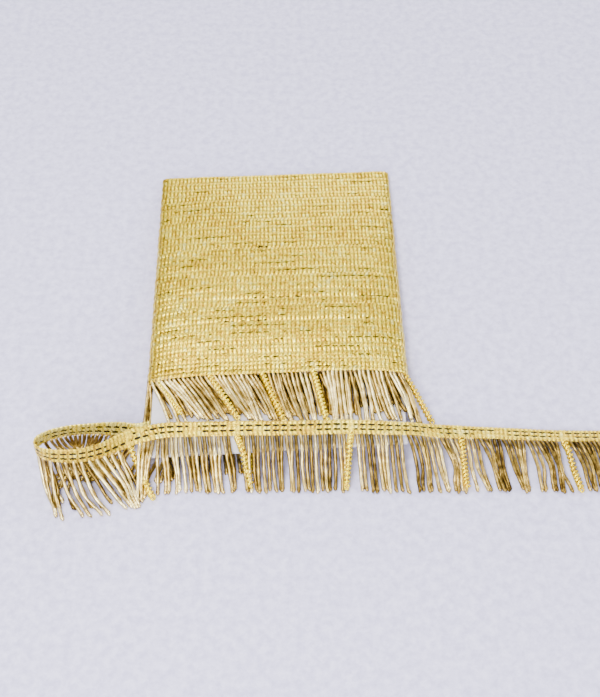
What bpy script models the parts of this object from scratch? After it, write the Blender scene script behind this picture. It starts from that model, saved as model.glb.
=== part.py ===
"""Bullion fringe trim, wound flat on a core card, with its free run laid out in front.

The trim is a narrow knitted heading with hanging twisted strands. Its turns lie shingled on
a flat card, which shows at the lower end. The free run comes out under the card, turns back
in a standing loop at the left, crosses the card's front end and runs out to the right on the
floor. X runs along the free run, Y away from it towards the thin end of the hank, Z up.
"""
import math

import bmesh
import bpy
from mathutils import Vector

MM = 0.001
GAP = 0.3 * MM                     # clearance between neighbouring pieces

# Place of the hank on the floor, before the whole is centred on its box
RIM_MIDDLE = Vector((-13.5, -34.0, 0.0)) * MM
TURN_ANGLE = math.radians(2.6)     # the turns against X
AXIS_ANGLE = math.radians(1.1)     # the hank's axis against Y
BOX_CENTRE = Vector((18.66, 13.06, 0.0)) * MM

# Core card
CARD_HALF_WIDTH = 76.6 * MM
CARD_THICKNESS = 2.0 * MM
CARD_FRONT = -50.5 * MM            # along the axis, from the hank's rim
CARD_BACK = 183.0 * MM
CARD_SKEW = 1.5 * MM               # its front end is cut a little out of square
CARD_LIFT_FRONT = 9.0 * MM         # underside above the floor
CARD_LIFT_BACK = 1.8 * MM

# Wound hank
HANK_LENGTH = 184.0 * MM
HANK_HALF_WIDTH_RIM = 80.2 * MM
HANK_HALF_WIDTH_END = 79.0 * MM
NOSE_HALF_HEIGHT = 2.8 * MM        # the winding's thickness round the card's sides
NOSE_POWER = 40
CROWN_POWER = 4
TURNS = 27
TURN_RISE = 0.50 * MM              # a turn's upper edge stands proud of the turn above it
TURN_DIP = -0.15 * MM
STEP_WIDTH = 0.5 * MM
SECTION_POINTS = 36
PRESSED_FLAT = 1.06                # the underside is pressed flat on the floor
BULGE = 0.35 * MM
HANK_CROWN = (                     # along the axis, height of the crown over the floor, mm
    (0.0, 20.0), (30.0, 20.2), (70.0, 18.2), (110.0, 14.8), (150.0, 10.2), (170.0, 7.4), (184.0, 5.6),
)

# Trim
HEADING_WIDTH = 10.0 * MM
BACKING_WIDTH = 1.1 * MM           # the edge of the heading that holds the strand roots
HEADING_THICKNESS = 1.2 * MM
ROW_RELIEF = 0.35 * MM             # three raised rows of stitches
STRAND_WIDTH = 1.7 * MM
STRAND_THICKNESS = 1.5 * MM
STRAND_LENGTH = 36.0 * MM
STRAND_PITCH = 2.85 * MM
CURLY_WIDTH = 3.3 * MM
CURLY_WAIST = 2.5 * MM
CURLY_THICKNESS = 2.4 * MM
CURLY_PITCH = 4.0 * MM
CURLY_ROOTS = (2.0, 68.0, 134.0, 200.0, 266.0, 332.0, 398.0, 464.0)    # along the run, mm
TIP_WIDTH = 1.4 * MM
TURN_PITCH = 4.6 * MM              # the strands stand further apart round the loop's turn
TURN_ROWS = (7, 10)
EDGE_CLEARANCE = 2.0 * MM
SIDE_MARGIN = 6.0 * MM             # strands this far beside the card still arch over its corner
LANDING = 6.0 * MM                 # a strand's last stretch, level on the floor

# The free run, from its tucked end: the heading's middle in mm, the dip of the heading
# from its plain edge to its fringed edge, and the sweep of the strands to the right, degrees
RUN_ROUTE = (
    # x, y, z, dip, sweep
    (-28.0, -55.0, 2.4, -6.0, 4.0),
    (-58.0, -57.0, 2.6, -4.0, 3.0),
    (-80.0, -60.5, 3.6, 6.0, 0.0),
    (-97.4, -66.1, 7.0, 32.0, -4.0),
    (-108.5, -69.5, 12.5, 62.0, -9.0),
    (-121.2, -74.0, 17.5, 84.0, -11.0),
    (-135.5, -76.9, 20.0, 88.0, -8.0),
    (-146.4, -81.4, 22.0, 88.0, -6.0),
    (-152.6, -87.2, 24.0, 90.0, -4.0),
    (-153.2, -92.8, 25.0, 88.0, 4.0),
    (-148.2, -96.8, 25.5, 82.0, 14.0),
    (-139.3, -98.6, 25.5, 76.0, 18.0),
    (-126.9, -97.4, 24.5, 72.0, 21.0),
    (-116.2, -92.4, 22.0, 62.0, 22.0),
    (-105.6, -84.1, 18.5, 45.0, 18.0),
    (-97.5, -78.3, 16.0, 26.0, 13.0),
    (-89.0, -74.8, 14.2, 13.0, 10.0),
    (-74.4, -71.6, 13.2, 9.0, 6.0),
    (-38.7, -70.7, 13.0, 8.0, 3.0),
    (29.2, -69.5, 13.0, 5.0, 1.0),
    (62.6, -70.5, 12.6, -3.0, 8.0),
    (77.8, -69.9, 9.4, -4.0, 11.0),
    (91.3, -68.8, 6.8, -3.0, 9.0),
    (109.0, -67.8, 4.6, -9.0, 8.0),
    (145.8, -68.9, 3.4, -13.0, 8.0),
    (176.6, -69.4, 3.2, -15.0, 7.0),
    (192.8, -69.7, 3.2, -15.0, 6.0),
)

# Stretches of the run's fringe, each on a backing of its own: route rows and name
FRINGE_STRETCHES = (
    (0, 3, "fringe_tucked"),
    (3, 8, "fringe_loop_back"),
    (8, 15, "fringe_loop_front"),
    (15, 20, "fringe_over_card"),
    (20, 26, "fringe_on_floor"),
)

# The fan of the strands at the hank's rim: across the hank in mm, sweep to the right, degrees
RIM_FAN = (
    (-80.0, -2.0), (-77.0, -2.0), (-74.0, 20.0), (-68.0, 36.0), (-45.0, 34.0), (-10.0, 24.0), (20.0, 15.0),
    (35.0, 6.0), (50.0, 7.0), (58.0, 16.0), (66.0, 18.0), (72.0, 20.0), (77.0, 25.0), (80.0, 30.0),
)
RIM_CURLY = (-41.0 * MM, 22.0 * MM)    # across the hank, the crimped strands of the top layer
RIM_REACH = 0.86                   # what a strand's length spans as it lies on the card
OVER_RUN = 6.2 * MM                # height of the strands that lie over the tucked run

# Colours and finish: red, green, blue, roughness, metallic
FINISHES = {
    "gold_heading": (0.72, 0.50, 0.16, 0.42, 0.6),
    "champagne_strand": (0.66, 0.55, 0.34, 0.38, 0.5),
    "board": (0.72, 0.69, 0.63, 0.80, 0.0),
}


def clear_scene():
    """Remove what a new file holds."""
    for obj in list(bpy.data.objects):
        bpy.data.objects.remove(obj, do_unlink=True)


def make_material(name, finish):
    """One Principled finish for one sub-part."""
    red, green, blue, roughness, metallic = FINISHES[finish]
    material = bpy.data.materials.new(name)
    material.use_nodes = True
    shader = material.node_tree.nodes["Principled BSDF"]
    shader.inputs["Base Color"].default_value = (red, green, blue, 1.0)
    shader.inputs["Roughness"].default_value = roughness
    shader.inputs["Metallic"].default_value = metallic
    return material


def add_object(name, mesh_builder, collection, finish):
    """Move a finished bmesh to the shared frame and put it in a named object."""
    bmesh.ops.translate(mesh_builder, verts=mesh_builder.verts, vec=-BOX_CENTRE)
    bmesh.ops.recalc_face_normals(mesh_builder, faces=mesh_builder.faces)
    mesh = bpy.data.meshes.new(name)
    mesh_builder.to_mesh(mesh)
    mesh_builder.free()
    mesh.materials.append(make_material(name, finish))
    obj = bpy.data.objects.new(name, mesh)
    collection.objects.link(obj)
    return obj


def lerp(first, second, share):
    """A value between two others."""
    return first + (second - first) * share


def read_table(rows, key, scale=MM):
    """Straight interpolation in a table of (place in mm, value)."""
    for (low, first), (high, second) in zip(rows, rows[1:]):
        if key <= high * scale:
            share = max(0.0, (key - low * scale) / ((high - low) * scale))
            return lerp(first, second, share)
    return rows[-1][1]


def smooth_through(points, fields, share):
    """Catmull-Rom value between two middle rows of four."""
    before, first, second, after = points
    square, cube = share * share, share * share * share
    return [0.5 * (2 * first[i] + (second[i] - before[i]) * share
                   + (2 * before[i] - 5 * first[i] + 4 * second[i] - after[i]) * square
                   + (3 * first[i] - before[i] - 3 * second[i] + after[i]) * cube)
            for i in range(fields)]


def card_underside(along):
    """Height of the card's underside at a place along the axis."""
    share = (along - CARD_FRONT) / (CARD_BACK - CARD_FRONT)
    return lerp(CARD_LIFT_FRONT, CARD_LIFT_BACK, share)


def hank_place(across, along, height):
    """A place in the hank's own directions as a place on the floor plan."""
    return Vector((
        RIM_MIDDLE.x + across * math.cos(TURN_ANGLE) - along * math.sin(AXIS_ANGLE),
        RIM_MIDDLE.y + across * math.sin(TURN_ANGLE) + along * math.cos(AXIS_ANGLE),
        height,
    ))


def hank_coordinates(point):
    """A place on the floor plan as across and along in the hank's own directions."""
    across_axis = hank_place(1.0, 0.0, 0.0) - RIM_MIDDLE
    along_axis = hank_place(0.0, 1.0, 0.0) - RIM_MIDDLE
    offset = point - RIM_MIDDLE
    scale = across_axis.x * along_axis.y - across_axis.y * along_axis.x
    across = (offset.x * along_axis.y - offset.y * along_axis.x) / scale
    along = (across_axis.x * offset.y - across_axis.y * offset.x) / scale
    return across, along


def loft(builder, sections, close_ends=True):
    """Join closed sections of equal point counts, and cap the two ends."""
    rings = [[builder.verts.new(point) for point in section] for section in sections]
    for ring, following in zip(rings, rings[1:]):
        for i in range(len(ring)):
            j = (i + 1) % len(ring)
            builder.faces.new((ring[i], ring[j], following[j], following[i]))
    if close_ends:
        builder.faces.new(rings[0])
        builder.faces.new(rings[-1])
    return rings


def build_core_card(collection):
    """The flat board inside, longer than the hank at its lower end."""
    builder = bmesh.new()
    bmesh.ops.create_cube(builder, size=1.0)
    for vert in builder.verts:
        side, end, level = (math.copysign(1.0, value) for value in vert.co)
        across = side * CARD_HALF_WIDTH
        along = CARD_BACK if end > 0 else CARD_FRONT + side * CARD_SKEW
        height = card_underside(along) + (CARD_THICKNESS if level > 0 else 0.0)
        vert.co = hank_place(across, along, height)
    return add_object("core_card", builder, collection, "board")


def superellipse(angle, power):
    """Height share of a flattened loop at an angle round it."""
    return math.sqrt(max(0.0, 1.0 - abs(math.cos(angle)) ** power)) * math.copysign(1.0, math.sin(angle))


def hank_outline(angle, along, proud):
    """Across and height of the winding's outer face, at an angle round the card."""
    half_width = lerp(HANK_HALF_WIDTH_RIM, HANK_HALF_WIDTH_END, along / HANK_LENGTH) + proud
    middle = card_underside(along) + CARD_THICKNESS / 2
    across = half_width * math.cos(angle)
    if math.sin(angle) >= 0.0:
        crown = read_table(HANK_CROWN, along) * MM - middle + proud
        crown += BULGE * math.sin(across / (11.0 * MM) + along / (17.0 * MM)) * math.sin(angle)
    else:
        crown = middle * PRESSED_FLAT
    height = NOSE_HALF_HEIGHT * superellipse(angle, NOSE_POWER)
    height += (crown - NOSE_HALF_HEIGHT) * superellipse(angle, CROWN_POWER)
    return across, max(0.0, middle + height)


def slot_outline(angle, along):
    """Across and height of the winding's inner face, just clear of the card."""
    half_width = CARD_HALF_WIDTH + GAP
    outer = lerp(HANK_HALF_WIDTH_RIM, HANK_HALF_WIDTH_END, along / HANK_LENGTH)
    across = max(-half_width, min(half_width, outer * math.cos(angle)))
    middle = card_underside(along) + CARD_THICKNESS / 2
    level = 0.0 if abs(math.sin(angle)) < 1e-6 else math.copysign(1.0, math.sin(angle))
    return across, middle + level * (CARD_THICKNESS / 2 + GAP)


def build_wound_hank(collection):
    """The winding: a flattened tube round the card, with a step at each shingled turn."""
    builder = bmesh.new()
    angles = [2 * math.pi * i / SECTION_POINTS for i in range(SECTION_POINTS)]
    pitch = HANK_LENGTH / TURNS
    stations = []
    for turn in range(TURNS):
        stations.append((turn * pitch, TURN_DIP if turn else TURN_RISE / 2))
        stations.append(((turn + 1) * pitch - STEP_WIDTH, TURN_RISE))
    stations.append((HANK_LENGTH, 0.0))
    sections = []
    for along, proud in stations:
        outline = [hank_outline(angle, along, proud) for angle in angles]
        sections.append([hank_place(across, along, height) for across, height in outline])
    outer = loft(builder, sections, close_ends=False)
    slots = []
    for along in (0.0, HANK_LENGTH):
        outline = [slot_outline(angle, along) for angle in angles]
        slots.append([hank_place(across, along, height) for across, height in outline])
    inner = loft(builder, slots, close_ends=False)
    for rim, slot in ((outer[0], inner[0]), (outer[-1], inner[-1])):
        for i in range(SECTION_POINTS):
            j = (i + 1) % SECTION_POINTS
            builder.faces.new((rim[i], rim[j], slot[j], slot[i]))
    return add_object("wound_hank", builder, collection, "gold_heading")


class Run:
    """The heading's route, read by its length from the tucked end."""

    STEPS = 40

    def __init__(self):
        rows = [RUN_ROUTE[0]] + list(RUN_ROUTE) + [RUN_ROUTE[-1]]
        self.samples = []
        self.row_length = []
        length = 0.0
        for index in range(1, len(rows) - 2):
            self.row_length.append(length)
            for step in range(self.STEPS):
                values = smooth_through(rows[index - 1:index + 3], 5, step / self.STEPS)
                place = Vector(values[:3]) * MM
                if self.samples:
                    length += (place - self.samples[-1][1]).length
                if step == 0:
                    self.row_length[-1] = length
                self.samples.append((length, place, values[3], values[4]))
        last = Vector(RUN_ROUTE[-1][:3]) * MM
        length += (last - self.samples[-1][1]).length
        self.samples.append((length, last, RUN_ROUTE[-1][3], RUN_ROUTE[-1][4]))
        self.row_length.append(length)
        self.length = length

    def at(self, length):
        """Place, direction along, direction across to the fringe, face normal and sweep."""
        low, high = 0, len(self.samples) - 1
        while high - low > 1:
            middle = (low + high) // 2
            if self.samples[middle][0] <= length:
                low = middle
            else:
                high = middle
        first, second = self.samples[low], self.samples[high]
        share = (length - first[0]) / (second[0] - first[0])
        place = first[1].lerp(second[1], share)
        before = self.samples[max(0, low - 6)][1]
        after = self.samples[min(len(self.samples) - 1, high + 6)][1]
        tangent = (after - before).normalized()
        dip = math.radians(lerp(first[2], second[2], share))
        fall = Vector((0.0, -math.cos(dip), -math.sin(dip)))
        across = (fall - tangent * fall.dot(tangent)).normalized()
        normal = across.cross(tangent).normalized()
        return place, tangent, across, normal, math.radians(lerp(first[3], second[3], share))


def build_heading_run(run, collection):
    """The free run's heading: a flat knitted strip with three raised rows."""
    builder = bmesh.new()
    width = HEADING_WIDTH - BACKING_WIDTH - GAP
    plain_edge = -HEADING_WIDTH / 2
    profile = []                   # share of the width, height over the middle
    for row in range(3):
        profile.append(((row + 0.0) / 3 + (0.02 if row else 0.0), HEADING_THICKNESS / 2 - ROW_RELIEF))
        profile.append(((row + 0.5) / 3, HEADING_THICKNESS / 2))
    profile.append((1.0, HEADING_THICKNESS / 2 - ROW_RELIEF))
    profile.append((1.0, -HEADING_THICKNESS / 2))
    profile.append((0.0, -HEADING_THICKNESS / 2))
    count = 96
    sections = []
    for index in range(count + 1):
        place, _, across, normal, _ = run.at(run.length * index / count)
        sections.append([place + across * (plain_edge + width * share) + normal * height
                         for share, height in profile])
    loft(builder, sections)
    return add_object("heading_run", builder, collection, "gold_heading")


def strand_kinds(run, start, end):
    """Root places of the strands between two lengths of the run, and which ones are curly."""
    turn_start, turn_end = (run.row_length[row] for row in TURN_ROWS)
    roots = []
    place = start
    while True:
        pitch = TURN_PITCH if turn_start < place < turn_end else STRAND_PITCH
        curly = any(root * MM <= place < root * MM + pitch for root in CURLY_ROOTS)
        if curly:
            pitch = max(pitch, CURLY_PITCH)
        if place + pitch > end:
            return roots
        roots.append((place, place + pitch, curly))
        place += pitch


def card_edge_at(x_place):
    """Y of the card's front edge at a place along X, or None beside the card."""
    left = hank_place(-CARD_HALF_WIDTH, CARD_FRONT - CARD_SKEW, 0.0)
    right = hank_place(CARD_HALF_WIDTH, CARD_FRONT + CARD_SKEW, 0.0)
    if not left.x - SIDE_MARGIN < x_place < right.x + SIDE_MARGIN:
        return None
    return lerp(left.y, right.y, (x_place - left.x) / (right.x - left.x))


def fall_path(root, across, sweep, length, thickness, over_card):
    """Middle line of a strand: off the heading, over the card's edge if it has one, to the floor."""
    rest = thickness / 2
    heading = Vector((math.sin(sweep), -math.cos(sweep), 0.0))
    edge_y = hank_place(-CARD_HALF_WIDTH, CARD_FRONT, 0.0).y
    edge = card_edge_at(root.x + math.tan(sweep) * (root.y - edge_y)) if over_card else None
    if edge is not None:
        top = card_underside(CARD_FRONT) + CARD_THICKNESS + EDGE_CLEARANCE + rest
        brow = root + heading * (root.y - edge + 1.5 * MM)
        brow.z = top
        spent = (brow - root).length
        left = length - spent
        drop = brow.z - rest
        reach = max(LANDING + 4.0 * MM, math.sqrt(max(0.0, left * left - drop * drop)))
        tip = brow + heading * reach
        tip.z = rest
        middle = brow + heading * (reach - LANDING) * 0.5
        middle.z = rest + drop * 0.52
        return [root, brow, middle, tip]
    drop = root.z - rest
    reach = math.sqrt(max(0.0, length * length - drop * drop)) * 0.96
    tip = root + heading * reach
    tip.z = rest
    lead = heading * (math.hypot(across.x, across.y) + 0.35)
    lead.z = across.z
    lead.normalize()
    first = root + lead * length * 0.22
    first.z = max(rest, first.z)
    landing = tip - heading * LANDING
    middle = first.lerp(landing, 0.55)
    middle.z = max(rest, lerp(first.z, rest, 0.62))
    if drop < 3.0 * MM:
        middle.z = rest
    return [root, first, middle, tip]


def strand_section(point, direction, side, normal, width, thickness):
    """Four corners of a strand's section, in the order of its root face, and its own normal."""
    direction = direction.normalized()
    side = (side - direction * side.dot(direction)).normalized()
    up = side.cross(direction)
    if up.dot(normal) < 0.0:
        up = -up
    half = side * width / 2
    rise = up * thickness / 2
    return [point - half + rise, point - half - rise, point + half - rise, point + half + rise], up


def grow_strand(builder, root_ring, path, curly):
    """Extend a root face along a path, and close its tip. A curly strand is crimped."""
    side = root_ring[2].co - root_ring[1].co
    normal = root_ring[0].co - root_ring[1].co
    width = CURLY_WIDTH if curly else STRAND_WIDTH
    thickness = CURLY_THICKNESS if curly else STRAND_THICKNESS
    points = path
    if curly:
        points = [path[0]]
        for start, end in zip(path, path[1:]):
            points += [start.lerp(end, 0.5), end]
    previous = root_ring
    for index in range(1, len(points)):
        last = index == len(points) - 1
        direction = (points[index] if last else points[index + 1]) - points[index - 1]
        if last or points[index].z < thickness * 0.7:
            direction.z = 0.0
        section_width = TIP_WIDTH if last else width
        if curly:
            section_width = CURLY_WAIST if index % 2 else width
        corners, normal = strand_section(points[index], direction, side, normal, section_width, thickness)
        ring = [builder.verts.new((corner.x, corner.y, max(0.0, corner.z))) for corner in corners]
        for i in range(4):
            j = (i + 1) % 4
            builder.faces.new((previous[i], previous[j], ring[j], ring[i]))
        previous = ring
    builder.faces.new(previous)


def build_fringe(name, frames, paths, collection):
    """Strands on one narrow backing.

    frames holds each root boundary: place, across, normal. paths holds one middle line for
    each root between two boundaries, with its curly mark.
    """
    builder = bmesh.new()
    rings = []
    for place, across, normal in frames:
        inner, outer = place, place + across * BACKING_WIDTH
        rise = normal * STRAND_THICKNESS / 2
        rings.append([builder.verts.new(point) for point in
                      (inner + rise, inner - rise, outer - rise, outer + rise)])
    builder.faces.new(rings[0])
    builder.faces.new(rings[-1])
    for ring, following, (path, curly) in zip(rings, rings[1:], paths):
        for i in (0, 1, 3):
            j = (i + 1) % 4
            builder.faces.new((ring[i], ring[j], following[j], following[i]))
        grow_strand(builder, [ring[3], ring[2], following[2], following[3]], path, curly)
    return add_object(name, builder, collection, "champagne_strand")


def build_run_fringes(run, collection):
    """The free run's strands, a backing for each stretch of the route."""
    inner = HEADING_WIDTH / 2 - BACKING_WIDTH
    for first_row, last_row, name in FRINGE_STRETCHES:
        start = run.row_length[first_row] + GAP
        end = run.row_length[last_row] - GAP
        roots = strand_kinds(run, start, end)
        bounds = [begin for begin, _, _ in roots] + [roots[-1][1]]
        frames = []
        for bound in bounds:
            place, _, across, normal, _ = run.at(bound)
            frames.append((place + across * inner, across, normal))
        paths = []
        for index, (begin, finish, curly) in enumerate(roots):
            place, _, across, _, sweep = run.at((begin + finish) / 2)
            root = place + across * (HEADING_WIDTH / 2)
            thickness = CURLY_THICKNESS if curly else STRAND_THICKNESS
            length = STRAND_LENGTH * (0.97 + 0.03 * math.sin(index * 2.4))
            over_card = name == "fringe_over_card"
            paths.append((fall_path(root, across, sweep, length, thickness, over_card), curly))
        build_fringe(name, frames, paths, collection)


def rim_arc(low, high, count, inset):
    """Evenly spaced boundaries along the winding's rim, between two angles round the card."""
    fine = 400
    outline = []
    for index in range(fine + 1):
        across, height = hank_outline(lerp(low, high, index / fine), 0.0, -inset)
        outline.append((across, max(inset, height)))
    lengths = [0.0]
    for (x_first, z_first), (x_second, z_second) in zip(outline, outline[1:]):
        lengths.append(lengths[-1] + math.hypot(x_second - x_first, z_second - z_first))
    places = []
    cursor = 0
    for index in range(count + 1):
        goal = lengths[-1] * index / count
        while cursor < fine - 1 and lengths[cursor + 1] < goal:
            cursor += 1
        share = (goal - lengths[cursor]) / (lengths[cursor + 1] - lengths[cursor])
        places.append((lerp(outline[cursor][0], outline[cursor + 1][0], share),
                       lerp(outline[cursor][1], outline[cursor + 1][1], share)))
    return places


def rim_frames(places, upper):
    """Boundaries of a rim backing: its inner edge, the way out of the hank, and its normal."""
    outward = (hank_place(0.0, -1.0, 0.0) - hank_place(0.0, 0.0, 0.0)).normalized()
    frames = []
    for index, (across, height) in enumerate(places):
        before = places[max(0, index - 1)]
        after = places[min(len(places) - 1, index + 1)]
        chord = hank_place(after[0], 0.0, after[1]) - hank_place(before[0], 0.0, before[1])
        normal = chord.cross(outward).normalized()
        if (normal.z >= 0.0) != upper:
            normal = -normal
        frames.append((hank_place(across, -GAP, height), outward, normal))
    return frames


def rim_path_on_card(across, height, thickness):
    """A top strand: it fans to the right and rests on the card, or falls past its side to the floor."""
    sweep = math.radians(read_table(RIM_FAN, across))
    root = hank_place(across, -GAP - BACKING_WIDTH, height)
    heading = Vector((math.sin(sweep), -math.cos(sweep), 0.0))
    reach = STRAND_LENGTH * RIM_REACH * (0.92 if thickness > STRAND_THICKNESS else 1.0)
    on_card = CARD_THICKNESS + GAP + thickness / 2
    brow = CARD_HALF_WIDTH + EDGE_CLEARANCE
    points = [root]
    for share in (0.36, 0.7, 1.0):
        point = root + heading * reach * share
        side, along = hank_coordinates(point)
        floor = card_underside(along) + on_card
        if abs(across) > CARD_HALF_WIDTH:
            floor = thickness / 2
        elif side > brow:
            floor = lerp(floor + EDGE_CLEARANCE, thickness / 2, min(1.0, (side - brow) / (5.0 * MM)))
        elif side > brow - 4.0 * MM:
            floor += EDGE_CLEARANCE
        point.z = max(floor, lerp(root.z, floor, min(1.0, share ** 1.2 * 1.2)))
        points.append(point)
    return points


def build_hank_fringe_top(collection):
    """The last turn's strands, lying on the card."""
    places = rim_arc(math.pi - 0.06, 0.06, 58, 1.7 * MM)
    for curly_place in RIM_CURLY:
        nearest = min(range(1, len(places) - 1), key=lambda index: abs(places[index][0] - curly_place))
        del places[nearest]
    paths = []
    for (first, second) in zip(places, places[1:]):
        across, height = (first[0] + second[0]) / 2, (first[1] + second[1]) / 2
        curly = any(abs(across - place) < STRAND_PITCH / 2 for place in RIM_CURLY)
        thickness = CURLY_THICKNESS if curly else STRAND_THICKNESS
        paths.append((rim_path_on_card(across, height, thickness), curly))
    build_fringe("hank_fringe_top", rim_frames(places, True), paths, collection)


def build_hank_fringe_under(collection):
    """The strands under the card: over the tucked run at the left, on the floor at the right."""
    places = rim_arc(math.pi + 0.5, 2 * math.pi - 0.5, 36, 1.4 * MM)
    tucked_end = RUN_ROUTE[0][0] * MM
    paths = []
    for (first, second) in zip(places, places[1:]):
        across, height = (first[0] + second[0]) / 2, (first[1] + second[1]) / 2
        root = hank_place(across, -GAP - BACKING_WIDTH, height)
        outward = (hank_place(0.0, -1.0, 0.0) - hank_place(0.0, 0.0, 0.0)).normalized()
        over_run = root.x < tucked_end + 6.0 * MM
        points = [root]
        for share in (0.35, 0.95):
            point = root + outward * STRAND_LENGTH * share
            point.z = OVER_RUN if over_run else STRAND_THICKNESS / 2
            points.append(point)
        paths.append((points, False))
    build_fringe("hank_fringe_under", rim_frames(places, False), paths, collection)


def main():
    """Build the card, the hank, the free run and their fringes."""
    clear_scene()
    collection = bpy.data.collections.new("bullion_fringe_trim")
    bpy.context.scene.collection.children.link(collection)
    build_core_card(collection)
    build_wound_hank(collection)
    run = Run()
    build_heading_run(run, collection)
    build_run_fringes(run, collection)
    build_hank_fringe_top(collection)
    build_hank_fringe_under(collection)


main()
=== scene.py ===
# %% [markdown]
# # Bullion fringe trim, wound on a core card
#
# The trim is a narrow knitted heading of flat gold yarn with twisted champagne strands hanging
# from its lower edge, and now and then a thicker crimped gold strand. A length of it is wound
# flat on a card. The free end comes out under the card, turns back in a standing loop at the
# left, crosses the card and runs out to the right on the table.
#
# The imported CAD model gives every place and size. This script loads it as a fixed frame and
# dresses it: each soft solid is replaced by a detailed piece that lies in the same space.

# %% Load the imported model
import math

import bpy
import numpy as np
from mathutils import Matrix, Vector


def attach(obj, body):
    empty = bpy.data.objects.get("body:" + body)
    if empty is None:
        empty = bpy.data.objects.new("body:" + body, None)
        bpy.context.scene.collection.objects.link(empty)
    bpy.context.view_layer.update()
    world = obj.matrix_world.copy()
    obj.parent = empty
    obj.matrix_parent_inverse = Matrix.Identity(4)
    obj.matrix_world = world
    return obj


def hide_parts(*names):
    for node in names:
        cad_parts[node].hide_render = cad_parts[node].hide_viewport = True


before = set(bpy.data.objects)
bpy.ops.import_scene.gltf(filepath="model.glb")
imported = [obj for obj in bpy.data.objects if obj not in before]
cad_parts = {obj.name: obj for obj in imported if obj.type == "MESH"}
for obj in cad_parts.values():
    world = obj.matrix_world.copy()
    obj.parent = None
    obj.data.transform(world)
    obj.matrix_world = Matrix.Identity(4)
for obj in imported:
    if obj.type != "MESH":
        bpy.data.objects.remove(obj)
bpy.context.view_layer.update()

# %% [markdown]
# ## The camera
#
# The photograph looks down on the table at about 52 degrees from a good distance, so the hank
# comes out as a slightly narrowing rectangle. The numbers below were found by matching the
# hank's corners and the ends of the loop. A long lens and a far camera keep that flat look.

# %% Camera
MM = 0.001
BOX_CENTRE = np.array((18.66, 13.06, 0.0)) * MM    # the plan's middle, as in the CAD
CAMERA_TARGET = Vector((-18.66, -13.06, 0.0)) * MM
CAMERA_ELEVATION = math.radians(52.0)
CAMERA_DISTANCE = 860 * MM
CAMERA_LENS = 81.18                # mm, on a frame 36 mm wide

camera_data = bpy.data.cameras.new("photo_camera")
camera_data.sensor_fit = "HORIZONTAL"
camera_data.sensor_width = 36.0
camera_data.lens = CAMERA_LENS
camera_data.clip_start = 0.05
camera = bpy.data.objects.new("photo_camera", camera_data)
bpy.context.collection.objects.link(camera)
camera.location = CAMERA_TARGET + CAMERA_DISTANCE * Vector(
    (0.0, -math.cos(CAMERA_ELEVATION), math.sin(CAMERA_ELEVATION)))
camera.rotation_euler = (math.pi / 2 - CAMERA_ELEVATION, 0.0, 0.0)
bpy.context.scene.camera = camera
print("camera at, mm:", [round(value * 1000) for value in camera.location])

# %% [markdown]
# ## Small helpers for materials
#
# A finish is a graph of nodes: coordinates go in at one end, and a colour, a roughness and a
# bump reach the Principled shader at the other. The same few nodes come up in every finish of
# this trim, so each gets a small function that takes numbers or other nodes' outputs. Object
# coordinates are used throughout, so a pattern stays with the piece.

# %% Node helpers
def new_material(name, roughness, metallic=0.0, sheen=0.0):
    """A Principled material, and its node tree and shader. Constants sit on the shader itself."""
    material = bpy.data.materials.new(name)
    material.use_nodes = True
    shader = material.node_tree.nodes["Principled BSDF"]
    shader.inputs["Roughness"].default_value = roughness
    shader.inputs["Metallic"].default_value = metallic
    shader.inputs["Sheen Weight"].default_value = sheen
    return material, material.node_tree, shader


def feed(tree, socket, value):
    """Join an input to another node's output, or set it to a number or a colour."""
    if isinstance(value, bpy.types.NodeSocket):
        tree.links.new(value, socket)
    else:
        socket.default_value = value


def add_node(tree, kind, **settings):
    """A shader node with its settings, and with its inputs fed by their names."""
    node = tree.nodes.new("ShaderNode" + kind)
    for key, value in settings.items():
        if key in node.inputs.keys():
            feed(tree, node.inputs[key], value)
        else:
            setattr(node, key, value)
    return node


def object_coords(tree):
    """The coordinates that stay with the piece, in metres."""
    return add_node(tree, "TexCoord").outputs["Object"]


def kept_value(tree, name):
    """A value that is kept on the piece's vertices."""
    return add_node(tree, "Attribute", attribute_name=name).outputs["Fac"]


def noise(tree, vector, scale, detail, roughness=0.5):
    """A noise texture's value. Its scale is in waves to the metre."""
    node = add_node(tree, "TexNoise", Vector=vector, Scale=scale, Detail=detail, Roughness=roughness)
    return node.outputs["Fac"]


def stretched_noise(tree, vector, scales, detail):
    """Noise with its own scale along each axis, for marks that run one way."""
    mapping = add_node(tree, "Mapping", Vector=vector, Scale=scales)
    return noise(tree, mapping.outputs["Vector"], 1.0, detail)


def math_node(tree, operation, *values):
    """The result of a Math node on its values."""
    node = add_node(tree, "Math", operation=operation)
    for socket, value in zip(node.inputs, values):
        feed(tree, socket, value)
    return node.outputs["Value"]


def map_range(tree, value, old_range, new_range=(0.0, 1.0), **settings):
    """A value brought from one range to another."""
    node = add_node(tree, "MapRange", Value=value, **settings)
    for name, number in zip(("From Min", "From Max", "To Min", "To Max"), old_range + new_range):
        node.inputs[name].default_value = number
    return node.outputs["Result"]


def mix_colour(tree, share, first, second):
    """A colour between two, by a share from 0 to 1."""
    node = add_node(tree, "Mix", data_type="RGBA")
    for index, value in ((0, share), (6, first), (7, (*second, 1.0))):
        feed(tree, node.inputs[index], value)
    return node.outputs[2]


def colour_ramp(tree, factor, stops):
    """A ramp from (place, (red, green, blue)) stops, driven by a socket."""
    ramp = add_node(tree, "ValToRGB", Fac=factor)
    elements = ramp.color_ramp.elements
    while len(elements) < len(stops):
        elements.new(0.5)
    for element, (place, colour) in zip(elements, stops):
        element.position = place
        element.color = (*colour, 1.0)
    return ramp.outputs["Color"]


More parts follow.
